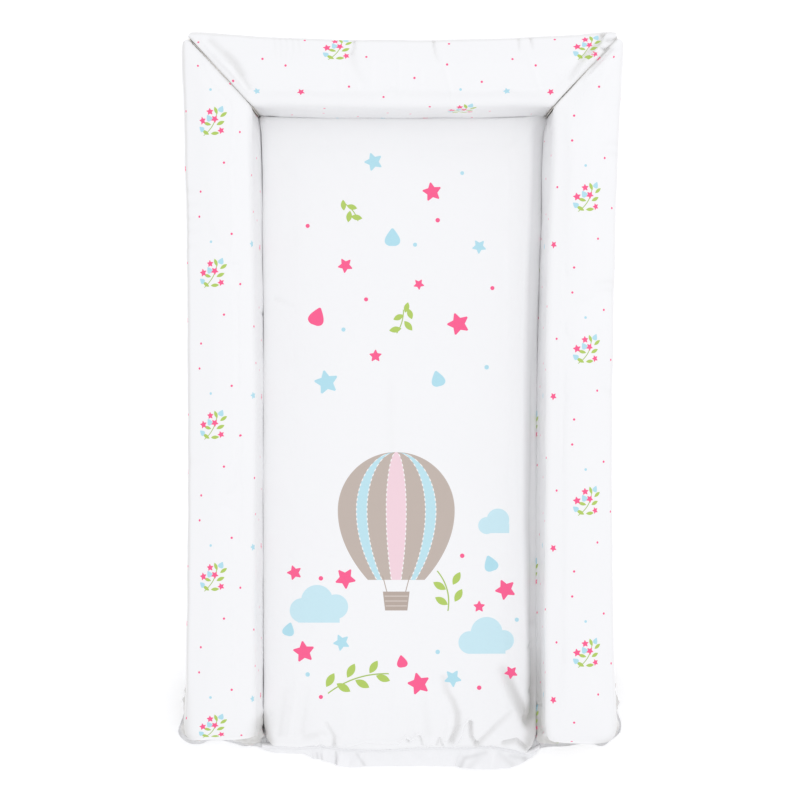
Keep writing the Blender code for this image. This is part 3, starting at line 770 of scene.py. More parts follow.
# folds and pinches in the top: path, half width, depth at the first and at the last point
headCreases = [
    ([(-48.1, 385), (-47.6, 373.6), (-50.2, 366)], 1.6, 2.6, 1.2),
    ([(-50.2, 366), (-48.5, 355), (-45, 346.5), (-38.8, 336.1)], 4.2, 1.1, 0.3),
    ([(35.1, 380), (35.1, 372.5), (37.2, 364.2), (39.3, 356.9)], 1.6, 2.2, 0.3),
    ([(123.6, 381.8), (123.6, 373.6), (124.6, 367.3)], 1.4, 1.8, 0.4),
    ([(136, 382.5), (137.1, 375.6), (138.1, 370.4)], 1.5, 2.2, 0.4),
    ([(-62.7, 361.1), (-61.6, 320.5)], 2.6, -0.35, -0.35),
    ([(-44, 334), (-44, 321.5)], 2.4, -0.4, -0.3),
    ([(-29.4, 361.1), (-30.4, 320.5)], 2.8, -0.4, -0.4),
    ([(-1.3, 364.2), (-1.3, 322.6)], 2.6, -0.35, -0.35),
    ([(21.6, 346.5), (21.6, 314.3)], 2.4, -0.35, -0.35),
    ([(42.4, 366.3), (54.9, 317.4)], 2.4, -0.5, -0.5),
    ([(132.9, 367.3), (145.4, 327.8)], 2.6, -0.6, -0.4),
    ([(166, 345), (168, 330)], 2.6, -0.4, -0.2),
    ([(-131.4, 380.7), (-130.3, 362.1)], 1.8, 0.6, 0.1),
    ([(-125.1, 380.8), (-124.1, 361.1)], 1.8, 0.6, 0.1),
    ([(-118.9, 380.7), (-118.9, 363.2)], 1.8, 0.6, 0.1),
    ([(-112.6, 380.7), (-111.6, 361.1)], 1.8, 0.6, 0.1),
    ([(-106.4, 380.7), (-105.3, 364.2)], 1.8, 0.6, 0.1),
    ([(-206, 378.5), (-194.8, 366.3), (-181.3, 352.8), (-168.8, 339.2), (-158.4, 325.7)], 2.6, -1.8, -1.8),
    ([(-196.9, 379.7), (-184.4, 367.3), (-171.9, 354.8), (-163.6, 339.2), (-158.4, 329)], 3.6, 1.8, 1.6),
    ([(-180, 366), (-170, 354), (-164.5, 344)], 4, 1, 1),
    ([(211.5, 388), (207.8, 377.7), (199.5, 369.4), (191.2, 361.1), (183.9, 349.6),
      (177.7, 339.2)], 2.6, 5, 1.2),
    ([(209.9, 374.6), (197.4, 359), (176.6, 334)], 1.6, -1.6, -1),
    ([(215.1, 379.8), (230.6, 382.4)], 1.5, 2.8, 2.6),
    ([(213, 384), (226, 388)], 1.6, -0.8, -0.8),
    ([(209.9, 371.4), (214.1, 369.4), (229.6, 378.7)], 1.5, 2.8, 2.4),
]
leftCreases = [
    ([(-204.1, 352.9), (-189.5, 338.3), (-173.9, 323.8)], 5, -0.5, -0.5),
    ([(-223.9, 223.7), (-208.3, 221.7)], 3, 0.7, 0),
    ([(-223.9, 208.1), (-205.2, 210.2)], 3.4, 0.6, 0),
    ([(-223.9, 194.6), (-209.4, 191.5)], 3, 0.7, 0),
    ([(-223.9, 180), (-204.2, 182.1)], 3.4, 0.6, 0),
    ([(-223.9, 165.5), (-208.3, 164.4)], 3, 0.6, 0),
    ([(-226, 300), (-205, 302)], 5, 0.4, 0),
    ([(-224, -60), (-204, -58)], 6, 0.4, 0),
]
rightCreases = [
    ([(220.3, 369.4), (208.9, 358), (197.4, 345.5)], 2, 2.6, 1.4),
    ([(225.5, 372.5), (208.9, 354.8), (193.3, 338.2)], 2, -1.8, -1.2),
    ([(217.1, 371.5), (206, 359.5), (199.5, 351.8)], 1.3, 1.8, 1),
    ([(230.6, 273.7), (207.8, 269.5)], 3.2, 0.7, 0),
    ([(230.6, 260.2), (204.7, 263.3)], 3.2, 0.7, 0),
    ([(227.5, 129.1), (201.6, 125.9)], 3, 0.9, 0),
    ([(227.5, 118.7), (204.7, 119.7)], 2.8, 0.9, 0),
    ([(222, 14), (206, 16)], 4, 0.5, 0),
]
# painted shade on crumpled vinyl and in the grooves: path, half width, share at the first and at the last point
leftShadeRuns = [
    ([(-229, -272), (-229, -300), (-229, -322), (-229, -343), (-222, -360)], 8, 0, 1.3),
    ([(-146, -334), (-148, -348), (-146, -366)], 7, 0.7, 0.95),
    ([(-166, -357), (-160, -358)], 5, 0.6, 0.6),
]
rightShadeRuns = [
    ([(231, -280), (231, -304), (231, -325), (230, -345), (222, -357)], 6.5, 0, 0.95),
    ([(208, -357), (216, -356)], 6, 0.7, 0.8),
    ([(144, -340), (147, -351), (151, -360)], 7, 0.6, 0.95),
    ([(147, -262), (147, -290), (147, -318), (147, -345)], 4, 0.1, 0.85),
]
centreShadeRuns = [
    ([(-144, -330), (-143, -345), (-140, -360)], 5, 0.3, 0.9),
    ([(143, -336), (141, -350), (137, -362)], 6, 0.4, 0.8),
    ([(140, -232), (140, -262), (141, -285), (139, -310), (140, -330)], 5.5, 0.15, 1),
    ([(115, -286), (122, -304), (134, -330)], 5, 0.2, 0.4),
    ([(142, 186), (138.7, 80), (137, -27), (137, -133), (140, -232)], 4, 0, 0.26),
]

# folds that run up the walls at the foot: the same, with the height as a third value
leftWallCreases = [
    ([(-233, -330, 4), (-225, -328, 40)], 3, 2.4, 0),
    ([(-236, -344, 4), (-224, -338, 50)], 2.4, -2, 0),
    ([(-228, -357, 4), (-216, -344, 70)], 3.2, 2.6, 0.4),
    ([(-214, -360, 4), (-210, -346, 70)], 2.6, -1.6, -0.2),
    ([(-206, -358, 4), (-203, -347, 60)], 2.2, 1.6, 0),
    ([(-172, -363, 4), (-178, -348, 60)], 2.4, 1.8, 0),
    ([(-160, -363, 4), (-164, -348, 70)], 2, -1.6, 0),
    ([(-146, -345, 8), (-152, -336, 64)], 3, 2.6, 0.4),
    ([(-145, -326, 8), (-150, -322, 50)], 3, -1.6, 0),
    ([(-144.6, 96, 4), (-150, 98, 60)], 2, 1.4, 0),
]
rightWallCreases = [
    ([(232, -326, 4), (226, -322, 44)], 3, 2.6, 0),
    ([(236, -342, 4), (226, -338, 50)], 2.6, -2, 0),
    ([(226, -358, 4), (218, -346, 66)], 3, 2.4, 0.4),
    ([(210, -362, 4), (208, -348, 50)], 2.4, -1.6, 0),
    ([(180, -362, 4), (182, -348, 60)], 2.4, 1.4, 0),
    ([(150, -350, 6), (156, -340, 62)], 3, 2.4, 0.2),
    ([(146, -320, 6), (154, -316, 60)], 2.6, 1.4, 0),
]


def unfolded(piece):
    # the print runs down every wall from the edge of the top
    points = pointsOf(piece)
    normals = normalsOf(piece)
    flat = np.linalg.norm(normals[:, :2], axis=1) + 0.03
    drop = np.maximum(border["height"] - points[:, 2], 0.0)
    mapPrint(piece, points[:, 0] + drop * normals[:, 0] / flat, points[:, 1] + drop * normals[:, 1] / flat)


def mitreDrawn(piece, mitre):
    # draws the two sides of a corner together and keeps the edge of the top crisp
    draw = border["draw"]
    inner, outer, widths = mitre
    inner, outer = np.array(inner) * mm, np.array(outer) * mm
    run = (outer - inner) / np.linalg.norm(outer - inner)
    across = np.array((-run[1], run[0]))
    points = pointsOf(piece)
    along = (points[:, :2] - inner) @ run
    away = (points[:, :2] - inner) @ across
    into = np.abs(away)
    half = between(along, widths) / 2
    near = np.exp(-(into / draw["near"]) ** 2) * eased(points[:, 2], *draw["high"])
    pulled = np.maximum(into - (draw["pull"] - half) * near, half)
    pulled = np.where(into < draw["within"], pulled, into)
    points[:, :2] += across * np.sign(away)[:, None] * (pulled - into)[:, None]
    edge = np.exp(-(into / draw["edgeNear"]) ** 2) * eased(points[:, 2], *draw["edgeHigh"])
    edge *= eased(along, *draw["edgeStart"]) * (1 - eased(along, *draw["edgeEnd"]))
    points[:, 2] += np.maximum(border["mitreTop"] - points[:, 2], 0.0) * edge * draw["edgeShare"]
    setPoints(piece, points)


def fromMitre(piece, mitre):
    # distance of each point from a corner's slit, in plan
    inner, outer = (np.array(end) * mm for end in mitre[:2])
    return runDistance(pointsOf(piece)[:, :2], inner, outer)[0]


def edgeShare(normals):
    # how far a point lies on an edge between the top and a wall
    return np.maximum(np.linalg.norm(normals[:, :2], axis=1) + normals[:, 2] - 1, 0.0)


def leaned(piece, way, tables):
    # sets the inner wall upright and makes the edges of the top crisper; way points to the middle
    axis = 0 if way[0] else 1
    sign = way[axis]
    points = pointsOf(piece)
    normals = normalsOf(piece)
    along = points[:, 1 - axis]
    high = eased(points[:, 2], *border["leanHigh"])
    low = between(points[:, 2], border["footShare"]) / mm
    shift = between(along, tables[0]) * low + between(along, tables[1]) * high
    wall = (points[:, axis] * sign)[normals[:, axis] * sign > 0.9].min()
    depth = wall - points[:, axis] * sign
    points[:, axis] += sign * shift * (1 - eased(depth, *border["leanDepth"]))
    sharper = np.where(normals[:, axis] * sign > 0.2, *border["crisp"])
    corner = edgeShare(normals) * eased(points[:, 2], *border["crispHigh"])
    setPoints(piece, points + normals * (sharper * corner)[:, None])


def flared(piece, sideTable, footTable, footTop, cornerPush, sign):
    # the loose vinyl stands out where the walls meet the floor; footTop moves the foot end's upper edge and
    # cornerPush its outer corner; gives back the share of painted shade at each point, greyest low on the loose
    # vinyl
    foot = border["foot"]
    points = pointsOf(piece)
    normals = normalsOf(piece)
    fromFoot = points[:, 1] - points[:, 1].min()
    points[:, 1] -= footTop * mm * eased(points[:, 2], *foot["topHigh"]) * (1 - eased(fromFoot, *foot["topAlong"]))
    corner = eased(points[:, 0] * sign, *foot["cornerAcross"]) * (1 - eased(fromFoot, *foot["cornerAlong"]))
    corner *= eased(points[:, 2], *foot["cornerHigh"])
    points[:, :2] += cornerPush * mm * corner[:, None] * np.array((sign, -1))
    low = 1 - eased(points[:, 2], *foot["low"])
    footHalf = points[:, 1] < 0
    outward = eased(normals[:, 0] * sign, *foot["facing"])
    footward = eased(-normals[:, 1], *foot["facing"]) * footHalf
    sideways = between(points[:, 1], sideTable) * low * outward
    footwards = between(points[:, 0], footTable) * low * footward
    points[:, 0] += sign * sideways
    points[:, 1] -= footwards
    atFoot = eased(footwards, *foot["footCrumpleAndShade"]) * (footward > 0.5) * low
    crumpled = np.maximum(eased(sideways, *foot["sideCrumple"]), atFoot)
    setPoints(piece, points + normals * (rippled(points, border["crumples"]) * crumpled)[:, None])
    beside = eased(between(points[:, 1], sideTable), *foot["sideShade"])
    beside *= eased(normals[:, 0] * sign, *foot["slackFacing"])
    below = eased(between(points[:, 0], footTable), *foot["footCrumpleAndShade"])
    below *= eased(-normals[:, 1], *foot["slackFacing"]) * (points[:, 1] < 0)
    slack = np.maximum(beside, below) * (1 - eased(points[:, 2], *foot["slackHigh"]))
    return foot["slack"] * slack * (1 + rippled(points, border["shadeStreaks"]))


def loosened(piece, slack, shadeRuns, creases):
    # paints shade into the colour where the vinyl hangs loose, turns over an edge or folds in
    points = pointsOf(piece)
    slack = np.maximum(slack, creaseDepth(points, shadeRuns) / mm)
    slack += border["valleyShade"] * np.clip(creaseDepth(points, creases) / border["valleyDepth"], 0.0, 1.0)
    loose = piece.data.attributes.new("loose", "FLOAT", "POINT")
    loose.data.foreach_set("value", np.clip(slack, 0.0, 1.0).astype(np.float32))


def borderPiece(name, cover, foam, way, lean, creases, wallCreases=(), mitres=(), flare=None, shadeRuns=()):
    piece = outerSkin(cover, name)
    remeshed(piece, border["voxel"])
    swollen(piece, border)
    subdivided(piece)
    leaned(piece, way, lean)
    for mitre in mitres:
        mitreDrawn(piece, mitre)
    # from here on, a share of painted shade is gathered for the loose foot, the turned-over outer edge, the slits
    # and the valleys of the folds
    slack = flared(piece, *flare) if flare else np.zeros(len(piece.data.vertices))
    turned = normalsOf(piece)
    outward = turned[:, :2] @ -np.array(way, float)
    rim = eased(outward, *border["rimFrom"]) * (1 - eased(outward, *border["rimTo"])) * (turned[:, 2] > 0)
    slack = np.maximum(slack, border["rimShade"][name] * rim)
    for mitre in mitres:
        slitShaded = np.exp(-(fromMitre(piece, mitre) / border["slitShadeReach"]) ** 2)
        slack = np.maximum(slack, border["slitShade"] * slitShaded)
    loosened(piece, slack, shadeRuns, creases)
    refinedNear(piece, [crease for crease in creases if crease[1] < border["fine"]], border["fineReach"])
    unfolded(piece)
    points = pointsOf(piece)
    pushed(piece, rippled(points, border["ripples"]) * eased(points[:, 2], *border["rippleHigh"]))
    topCreased(piece, creases)
    if wallCreases:
        wallCreased(piece, wallCreases)
    shadedSmooth(piece)
    placed(piece, finishes["border"], "border_vinyl", cover, foam)
    return piece


leftMitre, rightMitre = border["leftMitre"], border["rightMitre"]
borderLeft = borderPiece("borderLeft", "left_side_cover", "left_side_foam", (1, 0), border["leftLean"],
                         leftCreases, leftWallCreases, [leftMitre],
                         (border["leftFlare"], border["leftFootFlare"], 0.8, 4.5, -1), leftShadeRuns)
borderRight = borderPiece("borderRight", "right_side_cover", "right_side_foam", (-1, 0), border["rightLean"],
                          rightCreases, rightWallCreases, [rightMitre],
                          (border["rightFlare"], border["rightFootFlare"], 5.0, 1.0, 1), rightShadeRuns)
borderHead = borderPiece("borderHead", "head_cover", "head_foam", (0, -1), border["headLean"],
                         headCreases, (), [leftMitre, rightMitre])

# Lining of the two corner slits, in the tan fold finish that paints their warm shade.
slitLining = {
    "thickness": 0.0006,
    # along the slit and height of the lining's top, from the inner corner to the outer one
    "leftTop": [(2, 8), (6, 46), (10, 69), (18, 79.5), (60, 82), (98, 81.5), (106, 75), (111, 56), (113, 30)],
    "rightTop": [
        (2, 8), (6, 44), (10, 67), (18, 78.5), (60, 81), (74, 81.5), (98, 80), (106, 75), (111, 56), (113, 30)],
    "wave": {"height": 0.1, "along": 190, "up": 5},
    "reach": (2, 113),
    "foot": 1.6,
    "columns": 75,
    "rows": 22,
    "flat": (0.112, 0.0805),
    "area": 0.0082,
}


def slitPiece(name, node, mitre, topTable):
    inner, outer = (np.array(end) * mm for end in mitre[:2])
    run = (outer - inner) / np.linalg.norm(outer - inner)
    along = np.linspace(*slitLining["reach"], slitLining["columns"]) * mm
    top = between(along, topTable)
    foot = slitLining["foot"] * mm
    wave = slitLining["wave"]
    rows = []
    for share in np.linspace(0, 1, slitLining["rows"]):
        height = foot + (top - foot) * share
        shift = wave["height"] * mm * np.sin(along * wave["along"] + wave["up"] * share) * math.sin(math.pi * share)
        flat = inner + along[:, None] * run + shift[:, None] * np.array((-run[1], run[0]))
        rows.append(np.column_stack([flat, height]))
    piece = sheetFrom(name, np.array(rows), slitLining["thickness"])
    placed(piece, finishes["fold"], "welded_vinyl", node)
    return piece


slitLiningLeft = slitPiece("slitLiningLeft", "left_mitre_seam", leftMitre, slitLining["leftTop"])
slitLiningRight = slitPiece("slitLiningRight", "right_mitre_seam", rightMitre, slitLining["rightTop"])

# Lying surface.
centre = {
    "voxel": 0.005,
    "pressure": 4.0,
    "cap": 0.0010,
    "heldBelow": 0.003,
    "ripples": [(1, 0.2, 0, 88, 0.22), (0.3, 1, 0, 120, 0.26), (1, 1, 0, 66, 0.14), (1, -0.7, 0, 51, 0.10)],
    # how far the foot of each side stands out beyond the plain form, by its place, and what share of it by height
    "leftFoot": [(-380, 5.8), (-314, 5.8), (-133, 6.4), (-27, 6.2), (80, 5.6), (186, 5.8), (251, 5.3)],
    "leftShare": [
        (0, 0.9), (3, 0.7), (5, 0.45), (8, 0.47), (14, 0.66), (17, 0.82), (20, 1.12), (22, 1.36), (24, 1.56),
        (26, 1.75), (28, 1.6), (30, 0.5)],
    "rightFoot": [
        (-380, 7.4), (-314, 8.4), (-250, 9), (-133, 8.4), (-27, 7.8), (80, 6.2), (186, 4.3), (251, 2.8),
        (300, 2.3)],
    "rightShare": [
        (0, 0.95), (2, 0.88), (5, 0.67), (8, 0.69), (11, 0.77), (13, 0.52), (15, 0.03), (18, -0.14),
        (22, -0.19), (25, -0.1), (27, 0)],
    "rightShoulder": [
        (-314, 2.6), (-250, 2.7), (-133, -0.8), (-27, -1.2), (80, -1.8), (186, -0.6), (251, -1.6)],
    "shoulderShare": [(13, 0), (21, 0.8), (25, 1), (28, 0.4), (30, 0)],
    # a fold of loose vinyl that fills the right groove near the head
    "rightBridge": [(20, 0), (80, 2.2), (186, 5.2), (251, 4.8), (300, 4)],
    "bridgeShare": [
        (10, 0), (13, 0.75), (16, 1), (17, 0.66), (18, 0.28), (20, -0.07), (22, -0.18), (24, -0.08), (26, 0.12),
        (28, 0.5), (30, 0)],
    "headFoot": [(-160, 5.7), (-100, 5.65), (-40, 5.4), (40, 5.4), (100, 5.65), (160, 5.7)],
    "headShare": [
        (0, 0.5), (6, 0.22), (11, 0.38), (14, 0.6), (17, 0.86), (20, 1.24), (22, 1.58), (24, 1.95), (26, 2.6),
        (28, 3.2), (29, 2.8), (30, 1)],
    # how far the left corner at the head is pushed out, and how many times as far the right one is
    "corner": 0.0042,
    "cornerRatio": 1.5,
    # how much fuller the shoulders are: left, right and head
    "shoulders": (1.4, 2.2, 1.8),
    # how much sharper their edges are, in metres
    "crisp": (0.0030, 0.0060, 0.0030),
    # heights between which the ripples grow
    "rippleHigh": (0.006, 0.02),
    # creases narrower than these, and nearer the foot than finePlace, get a finer mesh, each time out to a reach
    "fine": [(3.6, 2.4), (2.3, 2)],
    "finePlace": -200,
    # where each move starts and is whole, as places across and along the mat and heights
    "spans": {"sides": (0.112, 0.128), "leftLift": (0.112, 0.129), "rightLift": (0.114, 0.131),
              "headLift": (0.274, 0.293), "liftHigh": (0.017, 0.025), "head": (0.278, 0.294),
              "rightCorner": (0.134, 0.146), "leftCorner": (0.129, 0.141), "cornerAlong": (0.284, 0.297),
              "cornerLow": (-0.029, -0.024), "crispHigh": (0.013, 0.020), "crispAlong": (-0.345, -0.315),
              "seam": (-0.373, -0.340)},
    # where the plain form's foot touches the hem
    "plainFoot": [
        (-145, -366.7), (-140, -366.9), (-125, -368.5), (-105, -368.8), (-90, -371.2), (-50, -371.6), (0, -372),
        (50, -371.6), (90, -370), (110, -369.1), (125, -368.5), (140, -365), (146, -363.9)],
    "seamLine": [
        (-160, -366.4), (-148, -366.4), (-134, -367.5), (-107, -368.6), (-88, -368), (-84, -366.6),
        (-78, -367.5), (-67, -369.6), (-59, -370.7), (-22, -371.8), (21, -369.1), (64, -368.6), (96, -367.5),
        (115, -370.7), (126, -373.6), (134, -375.4), (142, -372.5), (150, -367.5), (160, -366)],
}

centreCreases = [
    ([(46, -290), (49.7, -305), (56.1, -314.6), (61.4, -328.4), (61.4, -341.2), (55, -359.2)], 3.4, 1.4, 4.7),
    ([(53, -340), (49, -356)], 3.5, -1.8, -2.2),
    ([(58.2, -363.5), (64.7, -350.6), (67.5, -340), (71.9, -335.9)], 1.8, -2.4, -2.7),
    ([(74.7, -338), (75.8, -353.9), (81.6, -364.5)], 2.2, 4.3, 3.2),
    ([(82.6, -363.5), (100.7, -343.3), (117.7, -327.4)], 3.2, 3.2, 1.1),
    ([(92, -362), (112, -345), (122, -336)], 3.6, -1.8, -0.7),
    ([(110.2, -281.7), (118.8, -300.8), (135.8, -336.9)], 5.2, 2.2, 5.4),
    ([(124, -286), (134, -312)], 5, -2.2, -1.1),
    ([(111.3, -361.4), (124.1, -358.2), (135.8, -367.7)], 2.8, 4, 4),
    ([(-56.6, -364.5), (-37.5, -358.6), (-16.2, -360.2), (-2.4, -360.2), (5, -353.9)], 1.6, -1.2, -2.1),
    ([(5, -353.9), (11.4, -357.1), (17.8, -350.7), (22, -350.7)], 1.4, -2.1, -2.1),
    ([(5.1, -352.9), (9.3, -359.1)], 1.5, 1.8, 2.1),
    ([(20.9, -352.9), (24.1, -363.4)], 1.6, 2.1, 1.8),
    ([(39.1, -363.5), (42.2, -356), (45.4, -364.5)], 1.6, 1.8, 2.1),
    ([(30, -363), (34, -357)], 2, -1.5, -0.9),
    ([(-77.8, -339), (-70.4, -352.9), (-70.4, -364.5)], 2.2, 1.1, 3.2),
    ([(-84, -352), (-79, -364)], 3, -1.1, -1.6),
    ([(-101.2, -353.9), (-83.2, -350.7)], 4, 1.4, 1.4),
    ([(-90, -364), (-87, -360)], 1.8, -1.5, -0.9),
    ([(-128.8, -350.7), (-121.4, -302.9)], 3, 1.1, 0.4),
    ([(-118.2, -350.7), (-109.7, -292.3)], 3.4, -1.3, -0.4),
    ([(-104.4, -347.5), (-98, -302.9)], 3.2, 0.9, 0.2),
    ([(-60, -350), (-52, -306)], 4, -1.1, -0.2),
    ([(-34, -352), (-30, -300)], 4, -1.1, -0.2),
    ([(14, -346), (10, -296)], 4, -1.1, -0.2),
    ([(30, -350), (24, -300)], 4.4, 0.9, 0.2),
    ([(-132, 112.6), (-115, 104.1)], 2.2, 0.9, 0.3),
    ([(-48.1, 76.4), (-61.9, 40.3)], 5, -0.4, -0.4),
    ([(55, 40.3), (40.1, 2.1), (23.1, -16), (15.7, -51.1)], 5, -0.5, -0.4),
    ([(-25.8, 24.4), (-25.8, -50)], 6, -0.3, -0.3),
    ([(-9.8, 24.4), (-9.8, -47.9)], 4, 0.3, 0.3),
]
# notches and tucks in the panel's shoulders, with the height as a third value
centreWallCreases = [
    ([(142.4, -255.1, 6), (136.6, -257.5, 25)], 2.6, 2.2, 1),
    ([(142.4, -300.8, 6), (136.6, -304.2, 25)], 2.6, 2.4, 1),
    ([(142.4, -330.8, 6), (137.6, -334.2, 25)], 3, 2.4, 1.6),
    ([(-144.9, -332.7, 6), (-137.3, -328.4, 25)], 2.4, 2.6, 1.4),
    ([(-145.9, -312.7, 6), (-140.3, -312.4, 25)], 2.6, -1.4, -0.4),
]


def seamWaved(piece):
    # the foot of the panel follows the puckered line of the foot seam
    points = pointsOf(piece)
    low = 1 - eased(points[:, 1], *centre["spans"]["seam"])
    points[:, 1] += (between(points[:, 0], centre["seamLine"]) - between(points[:, 0], centre["plainFoot"])) * low
    setPoints(piece, points)


def sidesFilled(piece):
    # the foam pushes the panel out against the raised border
    points = pointsOf(piece)
    across, along, height = points.T.copy()

    def share(name):
        return between(height, centre[name]) / mm

    def span(values, name):
        return eased(values, *centre["spans"][name])

    left = between(along, centre["leftFoot"]) * share("leftShare")
    right = between(along, centre["rightFoot"]) * share("rightShare")
    right += between(along, centre["rightShoulder"]) * share("shoulderShare")
    right += between(along, centre["rightBridge"]) * share("bridgeShare")
    fuller = [size * mm for size in centre["shoulders"]]
    lift = np.maximum(fuller[0] * span(-across, "leftLift"), fuller[1] * span(across, "rightLift"))
    lift = np.maximum(lift, fuller[2] * span(along, "headLift"))
    points[:, 2] += lift * span(height, "liftHigh")
    points[:, 0] += np.where(across > 0, right, -left) * span(np.abs(across), "sides")
    points[:, 1] += between(across, centre["headFoot"]) * share("headShare") * span(along, "head")
    corner = centre["cornerRatio"] * span(across, "rightCorner") + span(-across, "leftCorner")
    corner *= centre["corner"] * span(along, "cornerAlong") * span(-height, "cornerLow")
    points[:, 0] += np.sign(across) * corner
    points[:, 1] += corner
    setPoints(piece, points)
    normals = normalsOf(piece)
    left, right, head = centre["crisp"]
    sharper = np.where(normals[:, 0] > 0.2, right, np.where(normals[:, 0] < -0.2, left, head))
    pushed(piece, sharper * edgeShare(normals) * span(points[:, 2], "crispHigh") * span(points[:, 1], "crispAlong"))


def centrePiece():
    piece = outerSkin("centre_panel", "centrePad")
    remeshed(piece, centre["voxel"])
    swollen(piece, centre)
    subdivided(piece)
    sidesFilled(piece)
    seamWaved(piece)
    atFoot = [crease for crease in centreCreases if crease[0][0][1] < centre["finePlace"]]
    for width, reach in centre["fine"]:
        refinedNear(piece, [crease for crease in atFoot if crease[1] < width], reach)
    points = pointsOf(piece)
    mapPrint(piece, points[:, 0], points[:, 1])
    pushed(piece, rippled(points, centre["ripples"]) * eased(points[:, 2], *centre["rippleHigh"]))
    # painted shade greys the grooves, the loose foot and the valleys of the folds
    loosened(piece, np.zeros(len(points)), centreShadeRuns, centreCreases)
    topCreased(piece, centreCreases)
    wallCreased(piece, centreWallCreases)
    shadedSmooth(piece)
    placed(piece, finishes["centre"], "centre_vinyl", "centre_panel", "centre_foam")
    return piece


centrePad = centrePiece()

# Welded edge round the mat.
edge = {
    "width": 4.4,
    "thickness": 0.0005,
    # height of each row across the weld, from the outer edge inwards
    "profile": (1.7, 1.5, 1.25, 1.55, 1.25, 1.5, 1.6),
    "outline": [
        (-148.1, -367.5), (-154.5, -365.3), (-168.4, -365.9), (-177, -362.7), (-183.4, -359.4),
        (-193.1, -358.9), (-201.6, -358.4), (-205.9, -360), (-213.4, -363.7), (-222, -363.7), (-229.5, -361.1),
        (-234.8, -356.8), (-238, -351.4), (-237.5, -346.1), (-233.8, -337.5), (-231.1, -328.9),
        (-232.2, -321.4), (-231.6, -313.9), (-228.9, -305.4), (-224.4, -292.7), (-222.6, -267),
        (-221.4, -178.9), (-220.8, -76.1), (-220.8, 26.7), (-221.7, 129.4), (-223.2, 232.2), (-225.1, 320.3),
        (-226.7, 379), (-227, 389.5), (-217.7, 388.8), (-147.1, 384.3), (-94.1, 382), (-41.1, 380.7),
        (11.8, 380.4), (64.8, 381.1), (117.7, 382.7), (170.7, 385.2), (223.6, 388.8), (233, 389.5),
        (232.4, 378.9), (229.6, 320.2), (226.1, 232.1), (223.1, 129.4), (221.4, 26.6), (220.9, -76.2),
        (221.6, -179), (223.2, -267), (226, -292), (229.8, -305.4), (234.3, -316.1), (232.2, -322.5),
        (231.6, -326.8), (234.3, -333.2), (237, -339.6), (237.5, -346.1), (235.4, -351.4), (228.9, -357.8),
        (223.6, -360), (221.4, -364.3), (216.1, -366.4), (209.7, -364.3), (207.5, -362.1), (192.5, -363.2),
        (181.8, -365.3), (171.1, -366.4), (163.6, -365.3), (152.0, -367.5)],
    # how high the loose edge stands, by its distance up the mat
    "lift": [
        (-400, 0.5), (-366, 1), (-352, 3), (-340, 1.2), (-328, 0.6), (-314, 2.4), (-300, 0.6), (-280, 0),
        (500, 0)],
    # how fast the loose edge waves, and how far down the mat the waves start and are whole
    "flutter": (0.9, 0.27, 0.33),
    "step": 2.2,
    "creviceStep": 3.0,
    "creviceProfile": (1.6, 1.35, 1.45, 1.35, 1.6),
    "creviceWidth": 1.8,
    "crevice": [
        (143.2, -362.8), (142.3, -284), (141.9, -205.3), (142.2, -126.5), (143, -47.7), (144.3, 31.1),
        (146.3, 109.8), (148.7, 188.6), (152.8, 293.6), (151.7, 298.8), (148, 302.6), (142.9, 304), (50.5, 304),
        (-44.8, 304), (-137.3, 304), (-142.4, 302.6), (-146, 298.9), (-147.3, 293.8), (-146.3, 215),
        (-145.4, 136.2), (-144.8, 57.4), (-144.3, -21.4), (-144.1, -100.2), (-144.1, -179), (-144.3, -257.8),
        (-144.9, -362.8)],
}


def ribbon(line, width, heights, firstAt=0.0):
    # rows of places to the left of a line, or on both sides of it
    turn = np.gradient(line, axis=0)
    turn /= np.linalg.norm(turn, axis=1)[:, None]
    left = np.column_stack([turn[:, 1], -turn[:, 0]])
    rows = []
    for share, height in zip(np.linspace(0, 1, len(heights)), heights):
        flat = line + left * (firstAt + width * share) * mm
        rows.append(np.column_stack([flat, height]))
    return np.array(rows)


def weldMarginPiece():
    line = evenly(edge["outline"], edge["step"])
    lift = between(line[:, 1], edge["lift"])
    speed, start, whole = edge["flutter"]
    flutter = 0.5 + 0.5 * np.sin(np.arange(len(line)) * speed) * eased(-line[:, 1], start, whole)
    last = len(edge["profile"]) - 1
    heights = [row * mm + lift * (1 - i / last) * flutter for i, row in enumerate(edge["profile"])]
    piece = sheetFrom("weldMargin", ribbon(line, edge["width"], heights), edge["thickness"])
    placed(piece, finishes["weld"], "welded_vinyl", "perimeter_weld")
    return piece


def creviceWeldPiece():
    line = evenly(edge["crevice"], edge["creviceStep"])
    heights = [np.full(len(line), height * mm) for height in edge["creviceProfile"]]
    rows = ribbon(line, edge["creviceWidth"], heights, -edge["creviceWidth"] / 2)
    piece = sheetFrom("creviceWeld", rows, edge["thickness"])
    placed(piece, finishes["weld"], "welded_vinyl", "inner_weld")
    return piece


weldMargin = weldMarginPiece()
creviceWeld = creviceWeldPiece()

# Plain sheet underneath.
base = {
    "thickness": 0.0005,
    "height": 0.4,
    "rows": 120,
    "columns": 72,
    "ripples": [(1, 0.1, 0, 61, 0.05), (0.2, 1, 0, 83, 0.06), (1, 1, 0, 47, 0.03)],
    "corners": ((-229.5, -361.1), (-227, 389.5), (233, 389.5), (228.9, -357.8)),
    "footLine": [
        (-229.5, -361.1), (-222, -363), (-205.9, -360), (-193.1, -358.9), (-168.4, -365.5), (-148, -366.4),
        (-107, -368.6), (-59, -370.7), (-22, -371.8), (21, -369.1), (64, -368.6), (96, -367.5), (115, -370.7),
        (139, -375), (152, -367.5), (171.1, -366), (192.5, -363.2), (209.7, -364), (228.9, -357.8)],
    "flat": (0.478, 0.770),
    "area": 0.340,
}


def pathBetween(points, start, end):
    first, last = points.index(start), points.index(end)
    return points[first:last + 1]


